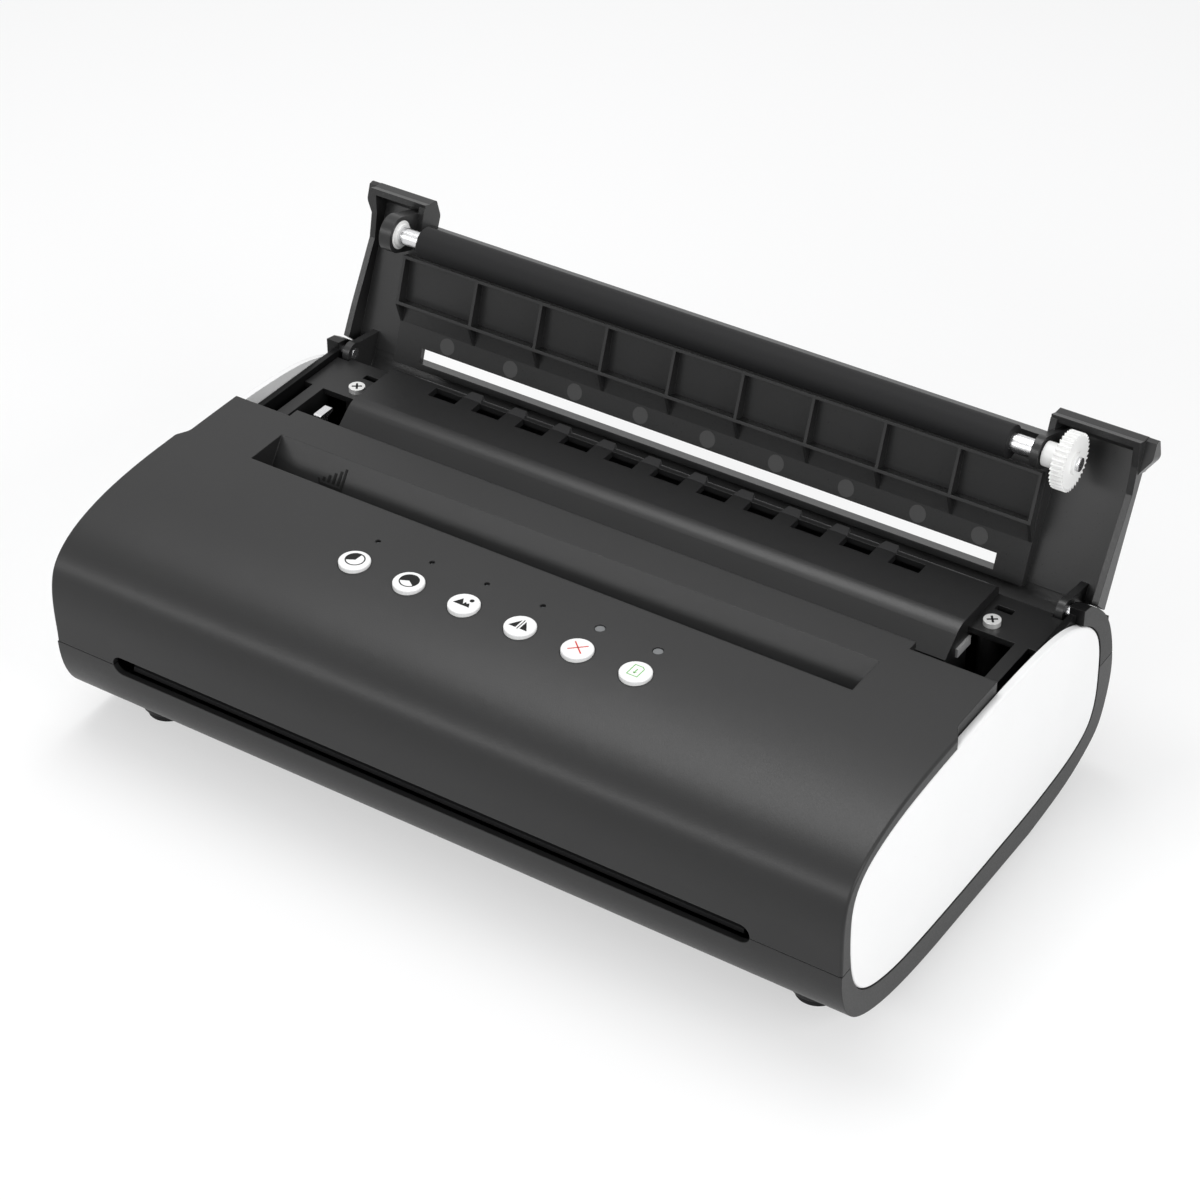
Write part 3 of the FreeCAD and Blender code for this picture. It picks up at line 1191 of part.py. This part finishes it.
def make_feet_and_screws():
    feet = []
    for side in (1, -1):
        for back in ("front_foot", "rear_foot"):
            feet.append(cylinder("foot_radius", "foot_height", "(%d) * foot_spread" % side,
                                 back, "-foot_height"))
    group("rubber_feet", feet)
    screws = []
    for x, back in POSTS:
        low = "wall + screw_head_height * 3"
        length = "%.6f + seam + post_engagement - screw_head_height - (%s)" % (
            seam_height(back), low)
        screws.append(screw("%.6f" % x, "%.6f" % back, low, length, -1))
    group("base_screws", screws)
    frame_screws = []
    for side in (1, -1):
        frame_screws.append(screw("(%d) * frame_screw_spread" % side, "frame_screw_back",
                                  "shelf_top - post_engagement", "post_engagement", 1))
    group("frame_screws", frame_screws)
    rods = []
    for share in (0.3, 0.8):
        rods.append(cylinder("comb_rod_radius", "hump_width - wall * 2",
                             "wall - hump_width / 2",
                             "comb_window_front + (comb_window_back - comb_window_front)"
                             " * %.1f" % share,
                             "hump_top - wall * 2", X_WAY))
    group("stencil_guide_rods", rods)
    strip = block("head_spring_wire", "strip_length", "wall * 1.4", "hump_width / 2",
                  "strip_front", "hump_skirt - wall * 0.7")
    keep(strip, "grounding_strip")


make_base_shell()
make_front_cover()
make_rear_housing()
make_side_panels()
make_middle_frame()
make_lid_shell()
make_hinge_pins()
make_platen_roller()
make_feed_roller()
make_gear_train()
make_scanner_and_guides()
make_print_head()
make_boards()
make_buttons()
make_power_entry()
make_lid_sensor()
make_feet_and_screws()

doc.recompute()

for thing in doc.Objects:
    if "Invalid" in thing.State or "Error" in thing.State:
        raise RuntimeError("%s failed: %s" % (thing.Name, thing.State))
for part in subparts:
    if part.Shape.isNull() or not part.Shape.isValid():
        raise RuntimeError("%s has no valid shape" % part.Label)

os.makedirs("parts", exist_ok=True)
for part in subparts:
    part.Shape.exportStep("parts/%s.step" % part.Label)
    print(part.Label, len(part.Shape.Solids), round(part.Shape.Volume))
whole = FreeCAD.BoundBox()
for part in subparts:
    whole.add(part.Shape.optimalBoundingBox())
print("box", whole)
for name, axis in (("drive", drive_axis), ("rear idler", idler_axis),
                   ("front idler", second_axis), ("feed", feed_axis),
                   ("pinion", pinion_axis), ("roller closed", ROLLER_AXIS),
                   ("hinge", hinge), ("roller open", turn(ROLLER_AXIS, hinge,
                                                          -size.lid_opening))):
    print(name, round(axis[0] - setback, 4), round(axis[1] + size.foot_height, 4))
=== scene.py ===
import json
import math

import bmesh
import bpy
from mathutils import Matrix, Vector


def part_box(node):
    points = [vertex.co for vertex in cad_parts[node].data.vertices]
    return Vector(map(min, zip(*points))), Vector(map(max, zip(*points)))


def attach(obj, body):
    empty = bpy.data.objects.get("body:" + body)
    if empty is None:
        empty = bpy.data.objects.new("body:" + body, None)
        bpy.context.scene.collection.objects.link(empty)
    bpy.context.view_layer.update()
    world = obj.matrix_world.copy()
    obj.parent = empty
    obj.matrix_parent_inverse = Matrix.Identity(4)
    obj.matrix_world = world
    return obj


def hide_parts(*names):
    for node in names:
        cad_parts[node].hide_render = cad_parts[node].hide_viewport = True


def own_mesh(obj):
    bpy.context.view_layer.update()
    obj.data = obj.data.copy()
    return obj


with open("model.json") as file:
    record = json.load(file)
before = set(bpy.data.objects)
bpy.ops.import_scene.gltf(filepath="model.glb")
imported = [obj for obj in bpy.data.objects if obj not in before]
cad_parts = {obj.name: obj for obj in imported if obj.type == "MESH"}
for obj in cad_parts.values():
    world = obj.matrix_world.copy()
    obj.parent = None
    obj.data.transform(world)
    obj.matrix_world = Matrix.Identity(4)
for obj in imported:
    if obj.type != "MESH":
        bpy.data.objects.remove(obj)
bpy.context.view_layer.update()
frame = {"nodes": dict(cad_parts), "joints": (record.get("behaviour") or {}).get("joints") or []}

MM = 0.001


# places shared with the CAD, in millimetres from the front of the machine and its underside

HINGE_BACK = 149.0
HINGE_HEIGHT = 66.0
LID_OPENING = 109.0
FOOT_HEIGHT = 3.0

setback = HINGE_BACK - 1000 * next(joint["pos_m"][1] for joint in frame["joints"]
                                   if joint["name"] == "lid_hinge")


def spot(x, back, up):
    """A point of the standing machine, from the drawing's millimetres to metres."""
    return Vector((x, back - setback, up + FOOT_HEIGHT)) * MM


# materials

def node_tree(material):
    """The material's emptied node tree and its new output."""
    material.use_nodes = True
    tree = material.node_tree
    tree.nodes.clear()
    output = tree.nodes.new("ShaderNodeOutputMaterial")
    return tree, output


def add(tree, kind, **settings):
    """A new node. A setting is a property of it where it has one of that name, or else an input."""
    node = tree.nodes.new(kind)
    for name, setting in settings.items():
        if hasattr(node, name):
            setattr(node, name, setting)
        else:
            node.inputs[name.replace("_", " ")].default_value = setting
    return node


def moulded(name, color, roughness, grain=0.25, grain_size=0.35, tint=0.06, coat=0.0,
            metallic=0.0, streak=False, specular=0.5, edge=0.25):
    """A moulded or turned surface: colour drift, fine grain in bump and gloss, soft edges.

    The size of its grain and the radius of its edges are in millimetres.
    """
    material = bpy.data.materials.new(name)
    tree, output = node_tree(material)
    link = tree.links.new
    place = add(tree, "ShaderNodeTexCoord")
    shader = add(tree, "ShaderNodeBsdfPrincipled")
    shader.inputs["Metallic"].default_value = metallic
    shader.inputs["Specular IOR Level"].default_value = specular
    shader.inputs["Coat Weight"].default_value = coat
    shader.inputs["Coat Roughness"].default_value = 0.25
    stretch = add(tree, "ShaderNodeMapping")
    stretch.inputs["Scale"].default_value = (0.02 if streak else 1, 1, 1)
    link(place.outputs["Object"], stretch.inputs["Vector"])
    fine = add(tree, "ShaderNodeTexNoise", Scale=1000 / grain_size, Detail=3.0, Roughness=0.6)
    link(stretch.outputs["Vector"], fine.inputs["Vector"])
    broad = add(tree, "ShaderNodeTexNoise", Scale=28.0, Detail=4.0, Roughness=0.55)
    link(place.outputs["Object"], broad.inputs["Vector"])
    shade = add(tree, "ShaderNodeMapRange", data_type="FLOAT")
    shade.inputs["From Min"].default_value = 0.3
    shade.inputs["From Max"].default_value = 0.7
    shade.inputs["To Min"].default_value = 1 - tint
    shade.inputs["To Max"].default_value = 1 + tint
    link(broad.outputs["Fac"], shade.inputs["Value"])
    tinted = add(tree, "ShaderNodeVectorMath", operation="SCALE")
    tinted.inputs[0].default_value = color
    link(shade.outputs["Result"], tinted.inputs["Scale"])
    link(tinted.outputs["Vector"], shader.inputs["Base Color"])
    rough = add(tree, "ShaderNodeMapRange", data_type="FLOAT")
    rough.inputs["From Min"].default_value = 0.25
    rough.inputs["From Max"].default_value = 0.75
    rough.inputs["To Min"].default_value = max(0.03, roughness - 0.06)
    rough.inputs["To Max"].default_value = min(1.0, roughness + 0.06)
    link(fine.outputs["Fac"], rough.inputs["Value"])
    link(rough.outputs["Result"], shader.inputs["Roughness"])
    bump = add(tree, "ShaderNodeBump", Strength=grain, Distance=0.00005)
    link(fine.outputs["Fac"], bump.inputs["Height"])
    if edge:
        softened = add(tree, "ShaderNodeBevel", samples=4)
        softened.inputs["Radius"].default_value = edge * MM
        link(softened.outputs["Normal"], bump.inputs["Normal"])
    link(bump.outputs["Normal"], shader.inputs["Normal"])
    link(shader.outputs["BSDF"], output.inputs["Surface"])
    return material


CHARCOAL = moulded("charcoal_shell", (0.0155, 0.0155, 0.0157), 0.40, grain=0.5, grain_size=0.45,
                   specular=0.30, edge=0.5)
RIM_BLACK = moulded("black_rim", (0.0060, 0.0060, 0.0062), 0.34, grain=0.4, grain_size=0.45,
                    specular=0.14, edge=0.4)
BLACK = moulded("black_inner", (0.0115, 0.0115, 0.0117), 0.36, grain=0.35, grain_size=0.5,
                specular=0.32)
MATT_BLACK = moulded("black_matt", (0.009, 0.009, 0.0095), 0.62, grain=0.3, specular=0.3)
LID_BLACK = moulded("lid_inner", (0.0230, 0.0230, 0.0232), 0.32, grain=0.3, grain_size=0.6,
                    specular=0.30)
MARK_GLOSS = moulded("pressed_mark", (0.036, 0.036, 0.036), 0.5, grain=0.2, edge=0.0)
WHITE = moulded("white_panel", (0.83, 0.83, 0.83), 0.32, grain=0.06, tint=0.01, edge=0.3)
BUTTON_WHITE = moulded("button_white", (0.85, 0.85, 0.845), 0.28, grain=0.05, tint=0.012)
NYLON = moulded("white_nylon", (0.84, 0.84, 0.83), 0.42, grain=0.15, tint=0.02, edge=0.12)
STEEL = moulded("turned_steel", (0.66, 0.66, 0.67), 0.26, grain=0.05, metallic=1.0, edge=0.1)
SHAFT = moulded("ground_shaft", (0.66, 0.66, 0.67), 0.24, grain=0.05, metallic=1.0, edge=1.2)
ZINC = moulded("zinc_screw", (0.78, 0.78, 0.77), 0.34, grain=0.1, metallic=0.55, edge=0.15)
PLATED = moulded("plated_strip", (0.60, 0.60, 0.60), 0.55, grain=0.1, metallic=0.3, edge=0.1)
BRASS = moulded("machined_brass", (0.62, 0.45, 0.20), 0.30, grain=0.2, metallic=1.0)
RUBBER = moulded("ground_rubber", (0.0085, 0.0085, 0.009), 0.68, grain=0.6, grain_size=0.25,
                 specular=0.22, edge=0.3)
ALUMINIUM = moulded("extruded_aluminium", (0.52, 0.53, 0.54), 0.35, grain=0.2, streak=True,
                    metallic=1.0)
GREEN_BOARD = moulded("green_board", (0.012, 0.10, 0.035), 0.35, grain=0.1, coat=0.4)
BROWN_BOARD = moulded("brown_board", (0.22, 0.13, 0.05), 0.5, grain=0.1)
YELLOW_TAPE = moulded("winding_tape", (0.60, 0.42, 0.05), 0.4, grain=0.1)
BLUE_SLEEVE = moulded("capacitor_sleeve", (0.015, 0.02, 0.07), 0.35, grain=0.1)
SMOKED = moulded("smoked_lens", (0.16, 0.165, 0.17), 0.22, grain=0.02, tint=0.03)
# near-black for the printed pictograms on the keys, also used as painted shade on the embossed
# sheet mark and in the screws' cross recesses
INK_AND_SHADE_BLACK = moulded("print_and_shade_black", (0.004, 0.004, 0.004), 0.6, grain=0.1, specular=0.2,
                     edge=0.0)
RED_PRINT = moulded("print_red", (0.62, 0.035, 0.02), 0.5, grain=0.1, edge=0.0)
GREEN_PRINT = moulded("print_green", (0.10, 0.42, 0.05), 0.5, grain=0.1, edge=0.0)


def glass_material():
    """Clear glass with faint smears in its gloss."""
    material = bpy.data.materials.new("clear_glass")
    tree, output = node_tree(material)
    shader = add(tree, "ShaderNodeBsdfPrincipled", Roughness=0.05)
    shader.inputs["Base Color"].default_value = (0.85, 0.9, 0.88, 1)
    shader.inputs["Transmission Weight"].default_value = 1.0
    smears = add(tree, "ShaderNodeTexNoise", Scale=60.0, Detail=3.0)
    rough = add(tree, "ShaderNodeMapRange", data_type="FLOAT")
    rough.inputs["To Min"].default_value = 0.02
    rough.inputs["To Max"].default_value = 0.12
    tree.links.new(smears.outputs["Fac"], rough.inputs["Value"])
    tree.links.new(rough.outputs["Result"], shader.inputs["Roughness"])
    tree.links.new(shader.outputs["BSDF"], output.inputs["Surface"])
    return material


GLASS = glass_material()

NODE_MATERIALS = {
    CHARCOAL: ("base_shell", "front_cover"),
    RIM_BLACK: ("rear_housing",),
    BLACK: ("middle_frame",),
    LID_BLACK: ("lid_shell",),
    MATT_BLACK: ("scanner_bar", "front_paper_guide", "rear_paper_guide", "power_inlet",
                 "power_switch_frame", "power_switch_rocker", "lid_sensor_switch",
                 "right_platen_bush", "key_switches", "feed_motor", "stencil_guide_rods"),
    WHITE: ("left_side_panel", "right_side_panel"),
    BUTTON_WHITE: ("light_copy_button", "dark_copy_button", "photo_button", "mirror_button",
                   "stop_button", "start_button"),
    NYLON: ("platen_gear", "platen_collar", "left_platen_bush", "feed_gear",
            "platen_drive_gear", "front_idler_gear", "rear_idler_gear"),
    SHAFT: ("platen_shaft", "feed_shaft", "motor_shaft", "hinge_pins"),
    ZINC: ("base_screws", "frame_screws"),
    STEEL: ("gear_plate", "gear_posts", "head_springs", "lid_sensor_lever", "lid_sensor_pin"),
    PLATED: ("grounding_strip",),
    BRASS: ("motor_pinion",),
    RUBBER: ("platen_rubber", "feed_rubber", "rubber_feet"),
    ALUMINIUM: ("print_head", "heat_sink"),
    GREEN_BOARD: ("main_board", "key_board"),
    BROWN_BOARD: ("power_board",),
    YELLOW_TAPE: ("transformer",),
    BLUE_SLEEVE: ("smoothing_capacitor",),
    SMOKED: ("indicator_lenses",),
    GLASS: ("scanner_glass",),
}
for material, names in NODE_MATERIALS.items():
    for name in names:
        for material_slot in frame["nodes"][name].material_slots:
            material_slot.material = material


# pieces

def piece(name, mesh, material, body):
    """A mesh as an object that rides a body and wears the given material."""
    thing = bpy.data.objects.new(name, mesh)
    bpy.context.collection.objects.link(thing)
    thing.data.materials.append(material)
    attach(thing, body)
    return thing


def drawn(name, bm, material, body):
    """The piece that a finished bmesh makes, with its faces turned outwards."""
    bmesh.ops.recalc_face_normals(bm, faces=bm.faces)
    mesh = bpy.data.meshes.new(name)
    bm.to_mesh(mesh)
    bm.free()
    return piece(name, mesh, material, body)


def raised(name, outlines, thickness, matrix, material, body):
    """Flat shapes, given as closed outlines in millimetres, raised to a thickness."""
    bm = bmesh.new()
    for outline in outlines:
        low = [bm.verts.new((u * MM, v * MM, 0)) for u, v in outline]
        high = [bm.verts.new((u * MM, v * MM, thickness * MM)) for u, v in outline]
        bm.faces.new(list(reversed(low)))
        bm.faces.new(high)
        count = len(outline)
        for index in range(count):
            after = (index + 1) % count
            bm.faces.new((low[index], low[after], high[after], high[index]))
    bm.transform(matrix)
    return drawn(name, bm, material, body)


def disc(u, v, radius, start=0.0, end=360.0, steps=40):
    """A round outline, or a segment of one between two directions."""
    points = []
    for index in range(steps + 1):
        angle = math.radians(start + (end - start) * index / steps)
        points.append((u + radius * math.cos(angle), v + radius * math.sin(angle)))
    return points[:-1] if end - start >= 360 else points


def ring(u, v, outer, inner):
    """A band between two radii, as four-cornered pieces side by side."""
    outside = disc(u, v, outer)
    inside = disc(u, v, inner)
    return [[outside[index - 1], outside[index], inside[index], inside[index - 1]]
            for index in range(len(outside))]


def bar(left, low, right, high):
    """A four-cornered outline."""
    return [(left, low), (right, low), (right, high), (left, high)]


# printed marks on the keys, in millimetres from the middle of each key's top

MARK_SUNK = 0.03
MARK_THICKNESS = 0.07
DIAL = (0, 0.3)
DIAL_RIM = ring(*DIAL, 3.25, 2.85)

KEY_MARKS = {
    "light_copy_button": (INK_AND_SHADE_BLACK, DIAL_RIM + [
        [(0.2, 0.1)] + disc(*DIAL, 2.85, 80, 215, 16)]),
    "dark_copy_button": (INK_AND_SHADE_BLACK, DIAL_RIM + [
        [DIAL] + disc(*DIAL, 2.85, -35, 80, 16),
        [DIAL] + disc(*DIAL, 2.85, 80, 205, 16)]),
    "photo_button": (INK_AND_SHADE_BLACK, [
        [(-3.2, -1.2), (0.4, -1.2), (-1.4, 1.9)],
        [(-0.2, -1.2), (2.6, -1.2), (1.6, 0.7), (0.9, 0.1), (0.3, 0.8)],
        disc(1.5, 2.2, 0.75)]),
    "mirror_button": (INK_AND_SHADE_BLACK, [
        [(-3.3, -1.5), (-0.75, -1.5), (-0.75, 2.4)],
        [(3.3, -1.5), (0.75, 2.4), (0.75, -1.5)],
        bar(-0.15, -1.9, 0.15, 2.8)]),
    "stop_button": (RED_PRINT, [
        [(-2.5, -1.7), (-2.2, -2.0), (2.5, 2.3), (2.2, 2.6)],
        [(-2.2, 2.6), (-2.5, 2.3), (2.2, -2.0), (2.5, -1.7)]]),
    "start_button": (GREEN_PRINT, [
        bar(-1.9, -2.4, 1.9, -2.15),
        bar(-1.9, 2.55, 0.9, 2.8),
        bar(-1.9, -2.15, -1.65, 2.55),
        bar(1.65, -2.15, 1.9, 1.9),
        [(1.65, 1.9), (1.9, 1.9), (1.0, 2.8), (0.8, 2.6)],
        bar(-0.15, -1.1, 0.15, 1.1),
        [(-0.7, -0.4), (0.0, -1.3), (0.7, -0.4), (0.0, -0.8)]]),
}


def make_key_marks():
    """A printed pictogram on each key."""
    for name, (ink, outlines) in KEY_MARKS.items():
        low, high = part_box(name)
        place = Matrix.Translation(((low[0] + high[0]) / 2, (low[1] + high[1]) / 2,
                                    high[2] - MARK_SUNK * MM))
        raised(name.replace("button", "mark"), outlines, MARK_THICKNESS, place, ink,
               name.replace("_button", "_key"))


def make_shaded_sheet_mark():
    """A small raised mark on the sloping back wall of the recess: a sheet going in. The strokes are
    real relief, but their near-black colour, darker than the cover, is painted shade standing in
    for the shading along the embossed strokes.
    """
    first_step, step_pitch, step_width, step_low = 2.0, 1.9, 0.9, 1.3
    strokes = []
    for index, step_high in enumerate((2.6, 3.8, 5.0, 6.2)):
        left = first_step + index * step_pitch
        strokes.append(bar(left, step_low, left + step_width, step_high))
    strokes.append(bar(1.2, 0.0, 9.3, 0.7))
    strokes.append(bar(9.3, 0.0, 10.1, 7.4))
    strokes.append([(0.0, 1.8), (1.2, 0.0), (1.2, 1.2), (0.8, 1.8)])
    wall_foot = spot(-96.5, 72.6, 62.3)
    wall_head = spot(-96.5, 82.8, 76.6)
    up_the_wall = 7.0 * MM
    proud = 0.02 * MM
    thickness = 0.15
    up = (wall_head - wall_foot).normalized()
    across = Vector((1, 0, 0))
    out = across.cross(up)
    turned = Matrix((across, up, out)).transposed().to_4x4()
    place = Matrix.Translation(wall_foot + up * up_the_wall + out * proud) @ turned
    raised("shaded_sheet_mark", strokes, thickness, place, INK_AND_SHADE_BLACK, "body")


def make_comb_tabs():
    """The row of low tabs behind the bars between the windows of the hump."""
    count, pitch, row_middle = 10, 17.6, -2.1
    corners = [(-3.6, 142.6, 69.15), (3.6, 142.6, 69.15), (2.3, 146.2, 69.9),
               (-2.3, 146.2, 69.9), (-2.7, 146.5, 67.6), (2.7, 146.5, 67.6)]
    bm = bmesh.new()
    for index in range(count):
        middle = row_middle + (index - (count - 1) / 2) * pitch
        a, b, c, d, e, f = [bm.verts.new(spot(middle + x, y, z)) for x, y, z in corners]
        for face in ((a, b, c, d), (d, c, f, e), (a, d, e), (b, f, c), (a, e, f, b)):
            bm.faces.new(face)
    drawn("comb_tabs", bm, MATT_BLACK, "body")


def make_ejector_marks():
    """Faint round marks on the inside of the lid, between its long rib and its slot."""
    back, height, radius, thickness = 138.6, 74.82, 2.9, 0.04
    hinge = spot(0, HINGE_BACK, HINGE_HEIGHT)
    swing = Matrix.Rotation(math.radians(-LID_OPENING), 4, "X")
    opened = Matrix.Translation(hinge) @ swing @ Matrix.Translation(-hinge)
    down = Matrix.Rotation(math.pi, 4, "X")
    for index, across in enumerate((-104, -78, -52, -26, 0, 26, 52, 78, 100)):
        place = opened @ Matrix.Translation(spot(across, back, height)) @ down
        raised("ejector_mark_%d" % index, [disc(0, 0, radius, steps=32)], thickness, place,
               MARK_GLOSS, "lid")


def make_screw_recess_shade():
    """Painted shade for the cross recesses of the two screws on the shelves: flat near-black
    crosses laid on the zinc heads, where the real recesses are dark only from shade.
    """
    low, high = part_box("frame_screws")
    head_radius = (high[1] - low[1]) / 2
    arm = 0.62 * head_radius / MM
    half_width = 0.13 * head_radius / MM
    turn = 0.6
    thickness = 0.05
    cross = [bar(-arm, -half_width, arm, half_width), bar(-half_width, -arm, half_width, arm)]
    for side, middle in (("left", low[0] + head_radius), ("right", high[0] - head_radius)):
        top = Vector((middle, (low[1] + high[1]) / 2, high[2] - MARK_SUNK * MM))
        place = Matrix.Translation(top) @ Matrix.Rotation(turn, 4, "Z")
        raised(side + "_screw_recess_shade", cross, thickness, place, INK_AND_SHADE_BLACK, "body")


def make_head_coils():
    """Three wound springs under the print head."""
    low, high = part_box("head_springs")
    wire = 0.36 * MM
    radius = (high[1] - low[1]) / 2 - wire
    height = high[2] - low[2]
    middle = (low[0] + high[0]) / 2
    spread = (high[0] - low[0]) / 2 - radius - wire
    turns, steps, sides = 4, 112, 8
    bm = bmesh.new()
    for offset in (-spread, 0.0, spread):
        rings = []
        for step in range(steps + 1):
            share = step / steps
            angle = 2 * math.pi * turns * share
            outward = Vector((math.cos(angle), math.sin(angle), 0))
            centre = Vector((middle + offset, (low[1] + high[1]) / 2,
                             low[2] + wire + share * (height - 2 * wire)))
            round_wire = []
            for side in range(sides):
                about = 2 * math.pi * side / sides
                reach = outward * (radius + wire * math.cos(about))
                rise = Vector((0, 0, wire * math.sin(about)))
                round_wire.append(bm.verts.new(centre + reach + rise))
            rings.append(round_wire)
        for below, above in zip(rings, rings[1:]):
            for side in range(sides):
                after = (side + 1) % sides
                bm.faces.new((below[side], below[after], above[after], above[side]))
        bm.faces.new(list(reversed(rings[0])))
        bm.faces.new(rings[-1])
    coils = drawn("head_coils", bm, STEEL, "body")
    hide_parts("head_springs")
    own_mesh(coils)


make_key_marks()
make_shaded_sheet_mark()
make_head_coils()
make_comb_tabs()
make_ejector_marks()
make_screw_recess_shade()


# floor, light and camera; the lights' places and sizes are in metres

FLOOR_REACH = 3.0
FLOOR_GLOW = 0.5
ROOM_LIGHT = 0.42
CAMERA_LENS = 97.42
CAMERA_SENSOR = 36.0
CAMERA_PLACE = spot(454.9, -599.8, 658.5)
CAMERA_DIRECTION = Vector((-0.4407, 0.6747, -0.5922))


def background_rays(tree):
    """1 for the rays that show the background: straight, reflected or through glass."""
    path = add(tree, "ShaderNodeLightPath")
    direct = add(tree, "ShaderNodeMath", operation="MAXIMUM")
    seen = add(tree, "ShaderNodeMath", operation="MAXIMUM")
    tree.links.new(path.outputs["Is Camera Ray"], direct.inputs[0])
    tree.links.new(path.outputs["Is Glossy Ray"], direct.inputs[1])
    tree.links.new(direct.outputs["Value"], seen.inputs[0])
    tree.links.new(path.outputs["Is Transmission Ray"], seen.inputs[1])
    return seen.outputs["Value"]


def make_floor():
    """A pale floor that blends into the background, and still takes soft shadows."""
    outline = bar(-FLOOR_REACH, -FLOOR_REACH, FLOOR_REACH, FLOOR_REACH)
    mesh = bpy.data.meshes.new("floor")
    mesh.from_pydata([(x, y, 0) for x, y in outline], [], [(0, 1, 2, 3)])
    floor = bpy.data.objects.new("floor", mesh)
    bpy.context.collection.objects.link(floor)
    material = bpy.data.materials.new("pale_floor")
    tree, output = node_tree(material)
    link = tree.links.new
    matt = add(tree, "ShaderNodeBsdfDiffuse")
    matt.inputs["Color"].default_value = (0.90, 0.90, 0.90, 1)
    glow = add(tree, "ShaderNodeEmission", Strength=1.0)
    share = add(tree, "ShaderNodeMath", operation="MULTIPLY")
    share.inputs[1].default_value = FLOOR_GLOW
    blend = add(tree, "ShaderNodeMixShader")
    link(background_rays(tree), share.inputs[0])
    link(share.outputs["Value"], blend.inputs["Fac"])
    link(matt.outputs["BSDF"], blend.inputs[1])
    link(glow.outputs["Emission"], blend.inputs[2])
    link(blend.outputs["Shader"], output.inputs["Surface"])
    mesh.materials.append(material)


def make_world():
    """White where the background is seen, and a dimmer light from the room on the part."""
    world = bpy.data.worlds.new("studio")
    world.use_nodes = True
    tree = world.node_tree
    tree.nodes.clear()
    output = tree.nodes.new("ShaderNodeOutputWorld")
    white = add(tree, "ShaderNodeBackground", Strength=1.0)
    room = add(tree, "ShaderNodeBackground", Strength=ROOM_LIGHT)
    blend = add(tree, "ShaderNodeMixShader")
    white.inputs["Color"].default_value = (1, 1, 1, 1)
    room.inputs["Color"].default_value = (0.98, 0.99, 1.0, 1)
    link = tree.links.new
    link(background_rays(tree), blend.inputs["Fac"])
    link(room.outputs["Background"], blend.inputs[1])
    link(white.outputs["Background"], blend.inputs[2])
    link(blend.outputs["Shader"], output.inputs["Surface"])
    bpy.context.scene.world = world


def soft_light(name, place, target, width, height, power):
    """A rectangular lamp at a place, turned towards a target."""
    lamp = bpy.data.lights.new(name, "AREA")
    lamp.shape = "RECTANGLE"
    lamp.size = width
    lamp.size_y = height
    lamp.energy = power
    thing = bpy.data.objects.new(name, lamp)
    bpy.context.collection.objects.link(thing)
    thing.location = place
    thing.rotation_euler = (Vector(target) - Vector(place)).to_track_quat("-Z", "Y").to_euler()


def make_lights():
    soft_light("top_light", (-0.25, 0.15, 1.10), (0, 0, 0.05), 0.7, 0.5, 6.5)
    soft_light("front_light", (-0.35, -1.10, 0.55), (0, 0, 0.04), 1.3, 0.22, 6.0)
    soft_light("side_light", (1.25, -0.25, 0.65), (0.1, 0, 0.05), 0.7, 0.7, 9.0)


def make_camera():
    """The camera that was fitted to the photograph."""
    camera = bpy.data.cameras.new("camera")
    camera.lens = CAMERA_LENS
    camera.sensor_width = CAMERA_SENSOR
    camera.clip_start = 0.05
    thing = bpy.data.objects.new("camera", camera)
    bpy.context.collection.objects.link(thing)
    thing.location = CAMERA_PLACE
    thing.rotation_euler = CAMERA_DIRECTION.to_track_quat("-Z", "Y").to_euler()
    bpy.context.scene.camera = thing


make_floor()
make_world()
make_lights()
make_camera()
bpy.context.scene.view_settings.view_transform = "Standard"
